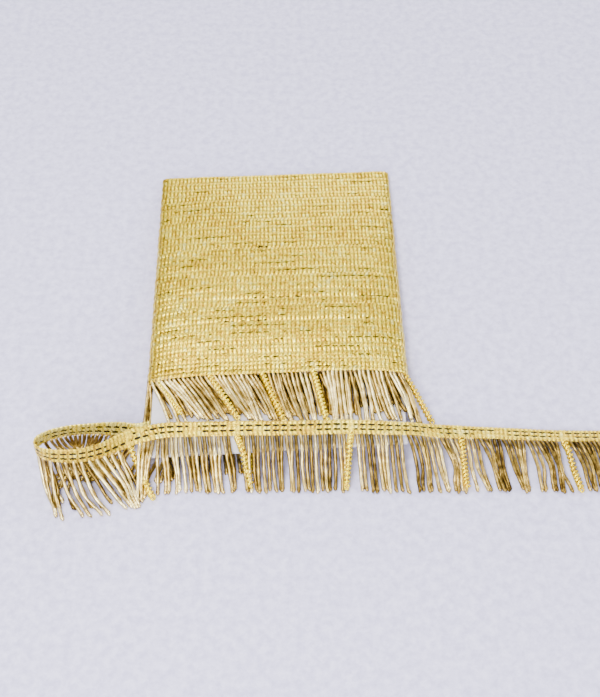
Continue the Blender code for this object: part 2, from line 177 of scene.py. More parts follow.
def bump(tree, shader, height, distance, strength, under=None):
    """A bump node from a height socket into the shader, over another bump if there is one."""
    node = add_node(tree, "Bump", Height=height, Distance=distance, Strength=strength)
    if under is not None:
        tree.links.new(under, node.inputs["Normal"])
    tree.links.new(node.outputs["Normal"], shader.inputs["Normal"])
    return node.outputs["Normal"]


print("node helpers are ready")

# %% [markdown]
# ## The table and the light
#
# The trim lies on a pale lilac-grey sheet of paper. A small soft source high up, behind and to
# the left, gives the short shadows. A broad window at the back lights the hank's top, and one
# at each side makes its shoulders glow, the right one more. Two fills from the front, one low
# and one high, reach the faces that the camera sees: the loop and the hanging strands.
# Metallic yarn shows what it mirrors, so the surround is bright overhead and dim at the horizon.

# %% The floor
FLOOR_SIZE = 6.0
FLOOR_DROP = 0.2 * MM              # under the thing's lowest point, so that the two never touch
PAPER_TONES = ((0.36, (0.444, 0.421, 0.628)), (0.64, (0.603, 0.580, 0.786)))


def select_only(*objects):
    """Just these objects selected, the first one active, because an operator acts on all that is."""
    bpy.ops.object.select_all(action="DESELECT")
    for obj in objects:
        obj.select_set(True)
    if objects:
        bpy.context.view_layer.objects.active = objects[0]


select_only()
bpy.ops.mesh.primitive_plane_add(size=FLOOR_SIZE, location=(0.0, 0.0, -FLOOR_DROP))
floor = bpy.context.active_object
floor.name = "floor"
paper, tree, shader = new_material("floor_paper", 0.85)
mottle = noise(tree, object_coords(tree), 190.0, 5.0, 0.65)
feed(tree, shader.inputs["Base Color"], colour_ramp(tree, mottle, PAPER_TONES))
bump(tree, shader, mottle, 0.35 * MM, 0.4)
floor.data.materials.append(paper)

# %% The surround and the lights
# the surround's colours from level to overhead
SURROUND = ((0.0, (0.44, 0.44, 0.44)), (0.40, (0.50, 0.50, 0.52)), (0.75, (0.52, 0.53, 0.55)),
            (0.95, (0.72, 0.74, 0.78)))
# square lights that look at the origin: place and size in metres, and power in watts
LIGHTS = (
    ("overhead", (-0.40, 0.30, 1.22), 0.45, 18.0),
    ("back_window", (0.25, 1.40, 0.58), 0.9, 16.0),
    ("left_window", (-1.15, -0.10, 0.62), 0.6, 7.0),
    ("right_window", (1.15, 0.15, 0.62), 0.6, 16.0),
    ("front_fill", (-0.10, -1.15, 0.55), 0.7, 22.0),
    ("high_fill", (-0.30, -0.80, 0.95), 0.5, 21.5),
)

world = bpy.data.worlds.new("studio")
world.use_nodes = True
tree = world.node_tree
background = tree.nodes["Background"]
direction = add_node(tree, "TexCoord").outputs["Generated"]
upwards = add_node(tree, "SeparateXYZ", Vector=direction).outputs["Z"]
feed(tree, background.inputs["Color"], colour_ramp(tree, upwards, SURROUND))
background.inputs["Strength"].default_value = 0.85
bpy.context.scene.world = world

for name, place, size, power in LIGHTS:
    data = bpy.data.lights.new(name, "AREA")
    data.shape = "SQUARE"
    data.size = size
    data.energy = power
    light = bpy.data.objects.new(name, data)
    bpy.context.collection.objects.link(light)
    light.location = place
    light.rotation_euler = (-Vector(place)).to_track_quat("-Z", "Y").to_euler()
print("lights: %d" % len(LIGHTS))

# %% [markdown]
# ## Where everything lies
#
# A sewn trim has no straight lines, so its route is a list of places along the heading, read
# off the photograph and set on the card and the table. A smooth curve goes through them. For
# each length along the run it gives the place, the direction across to the fringed edge, and
# the way in which the heading's face looks.

# %% The run's route
# x, y and z of the heading's middle in mm, and how far its fringed edge dips, in degrees
RUN_ROUTE = (
    (-28.0, -55.0, 2.4, -6.0), (-58.0, -57.0, 2.6, -4.0), (-80.0, -61.5, 3.4, 6.0),
    (-97.4, -68.1, 6.4, 32.0), (-108.5, -70.7, 12.0, 62.0), (-121.2, -74.0, 17.5, 84.0),
    (-135.5, -76.9, 20.0, 88.0), (-146.4, -81.4, 22.0, 88.0), (-152.6, -87.2, 24.0, 90.0),
    (-153.2, -92.8, 25.0, 88.0), (-148.2, -96.8, 25.5, 82.0), (-139.3, -98.6, 25.5, 76.0),
    (-126.9, -97.4, 24.5, 72.0), (-116.2, -92.4, 22.0, 62.0), (-105.6, -84.1, 18.5, 45.0),
    (-97.5, -78.3, 16.0, 26.0), (-89.0, -74.8, 14.2, 13.0), (-74.4, -71.6, 13.2, 9.0),
    (-38.7, -70.7, 13.0, 8.0), (29.2, -69.5, 13.0, 5.0), (62.6, -70.5, 12.6, -3.0),
    (77.8, -69.9, 9.4, -4.0), (91.3, -68.8, 6.8, -3.0), (109.0, -67.8, 4.6, -9.0),
    (145.8, -68.9, 3.4, -13.0), (176.6, -69.4, 3.2, -15.0), (192.8, -69.7, 3.2, -15.0),
)
ROUTE_STEPS = 40                   # places on the curve from one row to the next
LOOK_AHEAD, LOOK_BEHIND = 7, 6     # places between which the direction along is taken


def unit(vectors):
    """Rows of an array, each made one long."""
    return vectors / np.maximum(np.linalg.norm(vectors, axis=-1, keepdims=True), 1e-12)


def square_to(vectors, directions):
    """Rows turned square to their directions, one long."""
    return unit(vectors - directions * (vectors * directions).sum(axis=1, keepdims=True))


def smooth_curve(points, steps):
    """A smooth cubic curve through rows of values, with steps places in each stretch."""
    rows = np.vstack([points[:1], points, points[-1:]])
    share = (np.arange(steps) / steps)[:, None]
    parts = []
    for before, first, second, after in zip(rows, rows[1:], rows[2:], rows[3:]):
        parts.append(0.5 * (2 * first + (second - before) * share
                            + (2 * before - 5 * first + 4 * second - after) * share ** 2
                            + (3 * first - before - 3 * second + after) * share ** 3))
    return np.vstack(parts + [rows[-1:]])


def arc_lengths(line):
    """How far along a line each of its places lies."""
    return np.concatenate([[0.0], np.cumsum(np.linalg.norm(np.diff(line, axis=0), axis=1))])


def read_rows(goals, lengths, rows):
    """Rows read at some lengths, column by column."""
    return np.stack([np.interp(goals, lengths, column) for column in rows.T], axis=1)


class HeadingRoute:
    """The free run's heading, read by its length in metres from the tucked end."""

    def __init__(self, rows, steps):
        curve = smooth_curve(np.array(rows), steps)
        self.place = curve[:, :3] * MM
        self.dip = np.radians(curve[:, 3])
        self.lengths = arc_lengths(self.place)
        self.length = self.lengths[-1]
        self.row_length = self.lengths[::steps]
        count = len(self.place)
        ahead = self.place[np.minimum(np.arange(count) + LOOK_AHEAD, count - 1)]
        behind = self.place[np.maximum(np.arange(count) - LOOK_BEHIND, 0)]
        self.tangent = unit(ahead - behind)

    def at(self, lengths):
        """Arrays of place, direction across and face normal at some lengths."""
        place = read_rows(lengths, self.lengths, self.place)
        tangent = unit(read_rows(lengths, self.lengths, self.tangent))
        dip = np.interp(lengths, self.lengths, self.dip)
        across = square_to(np.stack([np.zeros_like(dip), -np.cos(dip), -np.sin(dip)], axis=1), tangent)
        return place, across, np.cross(across, tangent)


run = HeadingRoute(RUN_ROUTE, ROUTE_STEPS)
print("free run of heading: %.0f mm" % (run.length * 1000))

# %% [markdown]
# ## The hank's own directions
#
# The hank is not square with the table. Its turns lie 2.6 degrees off X and its axis 1.1
# degrees off Y, so a place on it is given across the turns and along the axis from its lower
# rim. The card inside is tilted: the winding is thicker at the lower end, where the turns are
# piled on the strands of the turns before them.

# %% The hank's directions and outline
RIM_MIDDLE = np.array((-13.5, -34.0)) * MM
TURN_ANGLE = math.radians(2.6)
AXIS_ANGLE = math.radians(1.1)
CARD_HALF_WIDTH = 76.6 * MM
CARD_THICKNESS = 2.0 * MM
CARD_FRONT = -50.5 * MM             # the card's ends along the axis
CARD_BACK = 183.0 * MM
CARD_SKEW = 1.5 * MM                # how far the cut at its front end is off square, at each side
CARD_LIFT_FRONT = 9.0 * MM          # height of its underside at the two ends
CARD_LIFT_BACK = 1.8 * MM
HANK_LENGTH = 184.0 * MM
HANK_HALF_WIDTH_RIM = 80.2 * MM
HANK_HALF_WIDTH_END = 79.0 * MM
NOSE_HALF_HEIGHT = 2.8 * MM         # the steep part of the outline at the card's two sides
NOSE_POWER = 40
CROWN_POWER = 4
PRESSED_FLAT = 1.06                 # how far the form would reach under the table, before it is cut
HANK_CROWN = np.array((       # along the axis, height of the crown over the table, mm
    (0.0, 20.0), (30.0, 20.2), (70.0, 18.2), (110.0, 14.8), (150.0, 10.2), (170.0, 7.4), (184.0, 5.6)))
GAP = 0.3 * MM


def hank_place(across, along, height):
    """Places in the hank's directions, as places on the table before centring."""
    across, along, height = np.broadcast_arrays(across, along, height)
    return np.stack([
        RIM_MIDDLE[0] + across * math.cos(TURN_ANGLE) - along * math.sin(AXIS_ANGLE),
        RIM_MIDDLE[1] + across * math.sin(TURN_ANGLE) + along * math.cos(AXIS_ANGLE),
        height], axis=-1)


def hank_coordinates(point):
    """A place on the table as across and along in the hank's own directions."""
    x_off, y_off = point[0] - RIM_MIDDLE[0], point[1] - RIM_MIDDLE[1]
    scale = math.cos(TURN_ANGLE) * math.cos(AXIS_ANGLE) + math.sin(AXIS_ANGLE) * math.sin(TURN_ANGLE)
    across = (x_off * math.cos(AXIS_ANGLE) + y_off * math.sin(AXIS_ANGLE)) / scale
    along = (math.cos(TURN_ANGLE) * y_off - math.sin(TURN_ANGLE) * x_off) / scale
    return across, along


def card_underside(along):
    """Height of the card's underside at a place along the axis."""
    share = (along - CARD_FRONT) / (CARD_BACK - CARD_FRONT)
    return CARD_LIFT_FRONT + (CARD_LIFT_BACK - CARD_LIFT_FRONT) * share


def superellipse(angle, power):
    """Height share of a flattened loop at an angle round it."""
    return np.sqrt(np.maximum(0.0, 1.0 - np.abs(np.cos(angle)) ** power)) * np.sign(np.sin(angle))


def hank_outline(angle, along, proud=0.0):
    """Across and height of the winding's outer face, at an angle round the card."""
    share = along / HANK_LENGTH
    half_width = HANK_HALF_WIDTH_RIM + (HANK_HALF_WIDTH_END - HANK_HALF_WIDTH_RIM) * share + proud
    middle = card_underside(along) + CARD_THICKNESS / 2
    top = np.interp(along, HANK_CROWN[:, 0] * MM, HANK_CROWN[:, 1] * MM) - middle + proud
    crown = np.where(np.sin(angle) >= 0.0, top, middle * PRESSED_FLAT)
    height = NOSE_HALF_HEIGHT * superellipse(angle, NOSE_POWER)
    height = height + (crown - NOSE_HALF_HEIGHT) * superellipse(angle, CROWN_POWER)
    return half_width * np.cos(angle), np.maximum(0.0, middle + height)


print("height of the hank's rim: %.1f mm" % (hank_outline(np.array([math.pi / 2]), 0.0)[1][0] * 1000))

# %% [markdown]
# ## One repeat of the heading
#
# The heading is knitted: three raised rows of stitches with two thin grooves between them, and
# a rib across all three every 2.6 mm. One rib's worth is modelled once: a block is
# cut by planes where the grooves and the rib's shoulders run, the lines between are pushed up
# or in, and its two ends are opened so that copies join on. An array then knits the length.

# %% Edit-mode helpers and the heading's repeat
def begin_block(name, size):
    """A block of the given size at the origin, with its scale applied."""
    select_only()
    bpy.ops.mesh.primitive_cube_add(size=1.0)
    block = bpy.context.active_object
    block.name = name
    block.scale = size
    bpy.ops.object.transform_apply()
    return block


def cut_planes(axis, places):
    """In edit mode, cut the whole mesh by planes square to an axis."""
    normal = [0.0, 0.0, 0.0]
    normal[axis] = 1.0
    for place in places:
        point = [0.0, 0.0, 0.0]
        point[axis] = place
        bpy.ops.mesh.select_all(action="SELECT")
        bpy.ops.mesh.bisect(plane_co=point, plane_no=normal)


def pick(obj, kind, test):
    """In edit mode, select just the vertices, edges or faces that pass a test."""
    bpy.ops.mesh.select_mode(type=kind)
    bpy.ops.mesh.select_all(action="DESELECT")
    bpy.ops.object.mode_set(mode="OBJECT")
    mesh = obj.data
    for part in {"VERT": mesh.vertices, "EDGE": mesh.edges, "FACE": mesh.polygons}[kind]:
        part.select = test(part)
    bpy.ops.object.mode_set(mode="EDIT")


def near(value, goal, within=0.02 * MM):
    """Whether a place is at a line."""
    return abs(value - goal) < within


RIB = 2.6 * MM
HEADING_WIDTH = 10.0 * MM
HEADING_THICKNESS = 1.2 * MM
GROOVES = (-1.67 * MM, 1.67 * MM)
# across the heading in mm: half its thickness there, and how far the rib leans along the trim
HEADING_LINES = (
    (-5.0, 0.16, -0.40), (-4.55, 0.52, -0.28), (-3.35, 0.62, 0.0), (-2.05, 0.54, 0.28), (-1.67, 0.36, 0.40),
    (-1.29, 0.54, 0.28), (0.0, 0.62, 0.0), (1.29, 0.54, -0.28), (1.67, 0.36, -0.40), (2.05, 0.54, -0.28),
    (3.35, 0.62, 0.0), (4.55, 0.52, 0.28), (5.0, 0.16, 0.40),
)
RIB_VALLEY = 0.30                  # the heading's thickness between two ribs, against on a rib
RIB_SHOULDER = 0.88                # and on the rib's shoulders
EDGE_SCALLOP = 0.93                # how far the edge draws in between two ribs
EDGE_REACH = 0.40 * MM             # and so how near to the edge its vertices lie
RIB_LINES = (-0.27, 0.0, 0.27)     # the rib's shoulders and crown, as shares of the repeat


def scale_picked(value, centre=(0.0, 0.0, 0.0)):
    """In edit mode, scale what is selected about a place."""
    bpy.ops.transform.resize(value=value, center_override=centre)


def knit_repeat(name, lines):
    """One rib's worth of heading, open at both ends."""
    block = begin_block(name, (RIB, HEADING_WIDTH, HEADING_THICKNESS))
    bpy.ops.object.mode_set(mode="EDIT")
    cut_planes(0, [share * RIB for share in RIB_LINES])
    cut_planes(1, [line * MM for line, _, _ in lines[1:-1]])
    pick(block, "FACE", lambda face: near(abs(face.center.x), RIB / 2))
    bpy.ops.mesh.delete(type="FACE")
    pick(block, "VERT", lambda point: near(abs(point.co.x), RIB / 2))
    scale_picked((1.0, 1.0, RIB_VALLEY))
    pick(block, "VERT", lambda point: near(abs(point.co.x), -RIB_LINES[0] * RIB))
    scale_picked((1.0, 1.0, RIB_SHOULDER))
    pick(block, "VERT", lambda point: near(abs(point.co.x), RIB / 2)
         and near(abs(point.co.y), HEADING_WIDTH / 2))
    scale_picked((1.0, EDGE_SCALLOP, 1.0))
    for line, half, lean in lines:
        place = line * MM
        within = EDGE_REACH if near(abs(place), HEADING_WIDTH / 2) else 0.02 * MM
        pick(block, "VERT", lambda point, place=place, within=within: near(point.co.y, place, within))
        scale_picked((1.0, 1.0, half * MM / (HEADING_THICKNESS / 2)), (0.0, place, 0.0))
        bpy.ops.transform.translate(value=(lean * MM, 0.0, 0.0))
    bpy.ops.object.mode_set(mode="OBJECT")
    return block


repeat = knit_repeat("heading_repeat", HEADING_LINES)
print("repeat of the heading: %d faces" % len(repeat.data.polygons))

# %% [markdown]
# ## Knitting a length and laying it on a route
#
# An Array modifier joins copies of the repeat end to end. The straight length is then laid on
# its route: a vertex's X is read as a length along the route, its Y as a place across the
# heading, and its Z as a height over the heading's middle. That is what a Curve modifier does,
# but here the route also says which way the heading faces at each place.

# %% Array and mesh reading
def apply_modifier(obj, name, kind, **settings):
    """Give the active object a modifier with its settings, and apply it."""
    modifier = obj.modifiers.new(name, kind)
    for key, value in settings.items():
        setattr(modifier, key, value)
    bpy.ops.object.modifier_apply(modifier=modifier.name)


def knit_length(block, name, count):
    """A copy of the repeat, arrayed count times along X and joined on."""
    select_only(block)
    bpy.ops.object.duplicate()
    length = bpy.context.active_object
    length.name = name
    apply_modifier(length, "repeats", "ARRAY", use_relative_offset=False, use_constant_offset=True,
                   constant_offset_displace=(RIB, 0.0, 0.0), count=count, use_merge_vertices=True,
                   merge_threshold=0.01 * MM)
    return length


def vertex_array(obj):
    """The places of an object's vertices, one row each."""
    places = np.empty(len(obj.data.vertices) * 3)
    obj.data.vertices.foreach_get("co", places)
    return places.reshape(-1, 3)


def set_vertices(obj, places):
    """Write the vertices' places back."""
    obj.data.vertices.foreach_set("co", np.ascontiguousarray(places, dtype=np.float32).ravel())
    obj.data.update()


# %% [markdown]
# ## Painted shade, highlights and tone of the stitches
#
# On the real heading the yarn sinks between the ribs into shade, each rib's crown catches the
# light, a few stitches glint, and a dark thread shows in the grooves. Here the shade, the crowns'
# highlight and the glints are painted into the colour, beside each stitch's own random tone and
# the real dark thread. A texture could hold all that, but it would have to be fitted to every
# bent turn. Values kept on the vertices of the straight length are simpler: they bend with it,
# and the finish reads them by name.

# %% Painted shade, highlights, tone and dark thread
# the shade between the ribs is painted into the colour
VALLEY_REACH = 0.38                # how far a valley's shade reaches into a rib, as a share of it
VALLEY_SHADES = (0.70, 1.0)        # lowest and highest shade in a valley
DASH_SPREAD = 7                    # ribs over which the shown stretches of thread are evened out
DASH_GAP = 0.3                     # every second join of two ribs interrupts the thread by this share
THREAD_REACH = 1.2 * MM            # from a groove to where the thread's value comes to 0
# a painted highlight along each rib's crown: how near its middle it reaches, and the tone it adds
CROWN_REACH, CROWN_HIGHLIGHT_TONE = 0.1, 0.45
STITCH_TONE = 0.60
# painted glints: a share of the stitches gets a high tone
GLINT_STITCHES, GLINT_HIGHLIGHT_TONE = 0.05, 1.5      # the share of stitches that catch the light, and their tone
# at a knot: its reach, how much painted shade it takes away, and the painted highlight it adds
KNOT_REACH, KNOT_SHADE, KNOT_HIGHLIGHT_TONE = 1.5 * MM, 0.6, 0.25


def mark_hollows(obj, straight, dashes, rng, knots=(), show=1.0, reverse_light_paint=0.0):
    """Store the painted shade of each vertex of a straight knitted length, and its tone.

    Between ribs shade is painted in, and a rib's crown gets a painted highlight in its tone, as
    do a few stitches with a painted glint. In the grooves between the rows a dark thread shows
    for the share of the length given by dashes, in dashes 1.4 ribs long, as thick as show says.
    Knots are lengths where a thicker yarn covers it; there the painted shade is lessened and
    the tone gets a painted highlight. The reverse, where Z is below 0, gets painted light by
    the share that the last argument gives, and less painted shade.
    """
    rib = np.floor((straight[:, 0] + RIB / 2) / RIB + 1e-4).astype(int)
    within = (straight[:, 0] + RIB / 2) / RIB - rib
    count = rib.max() + 2
    valley = np.clip(1.0 - np.minimum(np.abs(within), np.abs(1.0 - within)) / VALLEY_REACH, 0.0, 1.0)
    hollow = rng.uniform(*VALLEY_SHADES, count)[rib] * valley
    thread = np.zeros(len(straight))
    for groove in GROOVES:
        draws = rng.uniform(0.0, 1.0, count + DASH_SPREAD - 1)
        evened = np.convolve(draws, np.ones(DASH_SPREAD) / DASH_SPREAD, mode="valid")
        shown = np.argsort(np.argsort(evened)) / len(evened) < dashes
        gap = np.where(rib % 2 == 0, within < DASH_GAP, within > 1.0 - DASH_GAP)
        closeness = np.clip(1.0 - np.abs(straight[:, 1] - groove) / THREAD_REACH, 0.0, 1.0)
        thread = np.maximum(thread, closeness * (shown[rib] & ~gap))
    row = np.digitize(straight[:, 1], GROOVES)
    stitches = rng.uniform(0.0, 1.0, (count, 3))
    # painted glints on a few stitches
    stitches = np.where(rng.uniform(0.0, 1.0, (count, 3)) < GLINT_STITCHES, GLINT_HIGHLIGHT_TONE, stitches)
    # painted highlight along each rib's crown
    crown = np.abs(within - 0.5) < CROWN_REACH
    # painted light on the reverse, which also takes away some painted shade there
    reverse_light = reverse_light_paint * (straight[:, 2] < 0.0)
    tone = STITCH_TONE * stitches[rib, row] + CROWN_HIGHLIGHT_TONE * crown + reverse_light
    hollow = hollow * (1.0 - 0.5 * reverse_light)
    # at a knot: less painted shade, a painted highlight, and no thread
    for knot in knots:
        near_knot = np.exp(-((straight[:, 0] - knot) / KNOT_REACH) ** 2)
        hollow, tone = hollow * (1.0 - KNOT_SHADE * near_knot), tone + KNOT_HIGHLIGHT_TONE * near_knot
        thread = thread * (1.0 - near_knot)
    for name, values in (("hollow", hollow), ("tone", tone), ("thread", thread * show)):
        obj.data.attributes.new(name, "FLOAT", "POINT").data.foreach_set("value", values)


print("values kept on the knitting: hollow, tone, thread")

# %% [markdown]
# ## Closing and finishing a piece
#
# A laid length still has open ends, and a bent turn meets itself under the card. Merging the
# doubled vertices and filling the open borders makes each one a closed form. A finished piece
# then gets its material and is tied to the body, and the solids that it stands for are hidden.

# %% Welding, joining and finishing
def weld_and_close(obj, threshold=0.004 * MM):
    """Merge doubled vertices, close open ends, and turn the faces outwards."""
    select_only(obj)
    bpy.ops.object.mode_set(mode="EDIT")
    bpy.ops.mesh.select_mode(type="VERT")
    bpy.ops.mesh.select_all(action="SELECT")
    bpy.ops.mesh.remove_doubles(threshold=threshold)
    bpy.ops.mesh.select_all(action="DESELECT")
    bpy.ops.mesh.select_non_manifold(extend=False, use_wire=False, use_boundary=True,
                                     use_multi_face=False, use_non_contiguous=False, use_verts=False)
    bpy.ops.mesh.edge_face_add()
    bpy.ops.mesh.select_all(action="SELECT")
    bpy.ops.mesh.normals_make_consistent(inside=False)
    bpy.ops.mesh.select_all(action="DESELECT")
    bpy.ops.object.mode_set(mode="OBJECT")


def join_pieces(name, pieces):
    """One object from several."""
    select_only(*pieces)
    bpy.ops.object.join()
    pieces[0].name = pieces[0].data.name = name
    return pieces[0]


def finish_piece(piece, material, nodes, smooth=True):
    """Give a finished piece its material and its body, and hide the CAD nodes it stands for."""
    piece.data.materials.clear()
    piece.data.materials.append(material)
    piece.data.polygons.foreach_set("use_smooth", [smooth] * len(piece.data.polygons))
    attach(piece, "root")
    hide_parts(*nodes)
    triangles = sum(len(face.vertices) - 2 for face in piece.data.polygons)
    print("%s: %d triangles, %.1f x %.1f x %.1f mm" % (
        piece.name, triangles, *(np.ptp(vertex_array(piece), axis=0) / MM)))


print("helpers for closing and finishing are ready")

# %% [markdown]
# ## The knitted gold finish
#
# The heading is knitted of a flat metallic yarn. Each rib mirrors the light on its crown, and a
# painted highlight is added there; between the stitches, where gold only sees gold, an olive-brown
# shade is painted in. A dark thread runs in the grooves between the rows and shows as dashes. All
# three are values kept on the vertices, so they follow the knitting. The base colour wanders a
# little from stitch to stitch, the yarn's own strands run along the rib as a fine bump, and a
# finer noise breaks the gloss into sparkles.
# The slack free run is duller and has a soft bloom, and the tight winding is closer to metal.

# %% Heading material
GOLD_TONES = ((0.46, (0.50, 0.28, 0.005)), (0.64, (0.84, 0.56, 0.014)), (0.82, (1.00, 0.77, 0.042)),
              (0.98, (1.00, 0.865, 0.210)))
GOLD_SHEEN_TINT = (1.0, 0.80, 0.30, 1.0)
PAINTED_SHADE_COLOUR = (0.095, 0.050, 0.002)
THREAD_COLOUR = (0.008, 0.006, 0.002)


def knitted_gold(name, metallic, sheen):
    """Flat metallic yarn, knitted. A slack length is duller and softer than a tight one."""
    material, tree, shader = new_material(name, 0.34, metallic, sheen)
    shader.inputs["Sheen Tint"].default_value = GOLD_SHEEN_TINT
    shader.inputs["Sheen Roughness"].default_value = 0.45
    shader.inputs["Specular IOR Level"].default_value = 0.30
    coords = object_coords(tree)
    stitches = noise(tree, coords, 420.0, 3.0, 0.6)
    patches = noise(tree, coords, 28.0, 2.0)
    toned = math_node(tree, "MULTIPLY_ADD", kept_value(tree, "tone"), 0.42, stitches)
    patched = math_node(tree, "MULTIPLY_ADD", patches, 0.45, toned)
    colour = colour_ramp(tree, math_node(tree, "MULTIPLY", patched, 0.80), GOLD_TONES)
    # painted shade between the ribs and in the grooves, from the kept value
    shade = math_node(tree, "POWER", kept_value(tree, "hollow"), 1.2)
    colour = mix_colour(tree, shade, colour, PAINTED_SHADE_COLOUR)
    thread = map_range(tree, kept_value(tree, "thread"), (0.47, 0.57), interpolation_type="SMOOTHSTEP")
    feed(tree, shader.inputs["Base Color"], mix_colour(tree, thread, colour, THREAD_COLOUR))
    glint = noise(tree, coords, 1400.0, 2.0)
    feed(tree, shader.inputs["Roughness"], map_range(tree, glint, (0.35, 0.65), (0.20, 0.42)))
    yarn = stretched_noise(tree, coords, (2400.0, 420.0, 900.0), 2.0)
    fine = bump(tree, shader, yarn, 0.30 * MM, 0.6)
    bump(tree, shader, glint, 0.12 * MM, 0.4, fine)
    return material


heading_gold = knitted_gold("heading_gold", metallic=0.62, sheen=0.30)
winding_gold = knitted_gold("winding_gold", metallic=0.84, sheen=0.0)
print("gold finishes:", heading_gold.name, winding_gold.name)

# %% [markdown]
# ## The free run's heading
#
# The run shows its heading from both sides, in the loop, so the repeat keeps its rows on both
# faces, and its reverse gets painted light for the loop's inner face. It is a strip of cloth
# 10 mm wide and as long as the route. Where a crimped strand is knitted in, its thick yarn
# swells into a knot across the heading, with a painted highlight on it.

# %% The free run's heading
# crimped strands: place along the run in mm, and their own sweep in degrees
CRIMPED_ROOTS = ((3.0, 4.0), (69.0, 2.0), (134.0, 58.0), (199.8, 27.0), (265.9, 17.0), (333.7, -6.0),
                 (400.1, 3.0), (462.6, 12.0))
RUN_DASHES = 0.85                  # the share of the run's grooves in which the dark thread shows
# painted light on the heading's reverse, which the loop's inner face shows
RUN_REVERSE_LIGHT_PAINT = 0.62
# unevenness of the knitting: size in mm, wave over 2 pi in mm, and phase
RIB_DRIFT = ((0.20, 3.7, 0.0), (0.14, 1.9, 0.0))
EDGE_WANDER = ((0.16, 9.0, 0.0), (0.12, 23.0, 1.0))
SWELL, SWELL_WAVE, SWELL_SLANT = 0.12, 5.3 * MM, 900.0
KNOT_SWELL, KNOT_SWELL_REACH = 0.45, 1.6 * MM
DEPTH_NOISE = 0.02 * MM


def waves(lengths, table):
    """The sum of some small waves along the lengths."""
    return sum(size * MM * np.sin(lengths / (wave * MM) + phase) for size, wave, phase in table)


def lay_on_run(obj, count, rng):
    """Lay a straight knitted length on the run's route, with the small unevenness of knitting."""
    straight = vertex_array(obj)
    stretch = run.length / (count * RIB)
    knots = [root * MM / stretch - RIB / 2 for root, _ in CRIMPED_ROOTS]
    mark_hollows(obj, straight, RUN_DASHES, rng, knots, reverse_light_paint=RUN_REVERSE_LIGHT_PAINT)
    lengths = (straight[:, 0] + RIB / 2) * stretch
    lengths = lengths + waves(lengths, RIB_DRIFT)
    place, across, normal = run.at(np.clip(lengths, 0.0, run.length))
    swell = 1.0 + SWELL * np.sin(lengths / SWELL_WAVE + straight[:, 1] * SWELL_SLANT)
    for knot in knots:
        swell = swell + KNOT_SWELL * np.exp(-((straight[:, 0] - knot) / KNOT_SWELL_REACH) ** 2)
    sideways = straight[:, 1] + waves(lengths, EDGE_WANDER)
    depth = straight[:, 2] * swell + rng.normal(0.0, DEPTH_NOISE, len(straight))
    set_vertices(obj, place + across * sideways[:, None] + normal * depth[:, None] - BOX_CENTRE)


ribs = round(run.length / RIB)
run_heading = knit_length(repeat, "run_heading", ribs)
lay_on_run(run_heading, ribs, np.random.default_rng(3))
weld_and_close(run_heading)
finish_piece(run_heading, heading_gold, ["heading_run"])
print("ribs along the run: %d" % ribs)

# %% [markdown]
# ## The winding's turns
#
# The winding is a row of turns. Each turn lies on the fringe and the heading of the turn
# before it, so only its upper two rows show, and its plain edge stands a little proud. The
# last turn, at the lower rim, shows all its rows. A turn is a knitted length bent round the
# hank's outline, its ends welded under the card. No two turns show quite the same width, and
# each one wanders a little, as hand winding does.

# %% The winding's turns
TURN_LINES = (
    (-5.0, 0.32, -0.45), (-4.62, 0.54, -0.32), (-3.35, 0.62, 0.0), (-2.05, 0.57, 0.32), (-1.67, 0.48, 0.45),
    (-1.29, 0.57, 0.32), (0.0, 0.62, 0.0), (1.29, 0.57, -0.32), (1.67, 0.48, -0.45), (5.0, 0.32, 0.45))
TURNS = 27
NEAR_TURNS = 13                     # the turns of the nearer of the two pieces
FIRST_TURN = HEADING_WIDTH
EDGE_PROUD = -0.05 * MM             # a turn's middle surface at its plain edge, over the outline
EDGE_SUNK = -1.05 * MM              # and how much lower it is at its fringed edge
FIRST_SUNK = -0.30 * MM             # the same for the last turn wound, at the rim
OUTLINE_POINTS = 1440
CHORD = 3                           # places to each side from which the way out is taken
THICKNESS_SPREAD = 0.06
LEAST_TURN_HEIGHT = 0.03 * MM
# unevenness of winding: ribs' drift as size, wave over 2 pi (mm) and spread of the phase,
# and an edge's wander as size (mm) and half waves round the turn
TURN_DRIFT = ((0.22, 4.1, 6.0), (0.30, 13.0, 1.6))
TURN_WANDER = ((0.22, 2), (0.20, 6), (0.14, 22))
TURN_LIFT = (0.16, 14)
# the share of the grooves with dark thread in sight, from the rim to the far end
DASHES_ALONG = ((0.05, 0.4, 1.0), (0.30, 0.20, 0.07))
TURN_THREAD = 0.80


def outline_table(along):
    """The outline as a line of equal arc shares, the way out of it, and its girth."""
    angle = np.linspace(-math.pi / 2, 1.5 * math.pi, OUTLINE_POINTS + 1)
    line = np.stack(hank_outline(angle, along), axis=1)
    arc = arc_lengths(line)
    share = np.linspace(0.0, 1.0, OUTLINE_POINTS + 1)
    line = read_rows(share, arc / arc[-1], line)
    chord = np.roll(line[:-1], -CHORD, axis=0) - np.roll(line[:-1], CHORD, axis=0)
    way_out = unit(np.stack([chord[:, 1], -chord[:, 0]], axis=1))
    return share, line, np.vstack([way_out, way_out[:1]]), arc[-1]


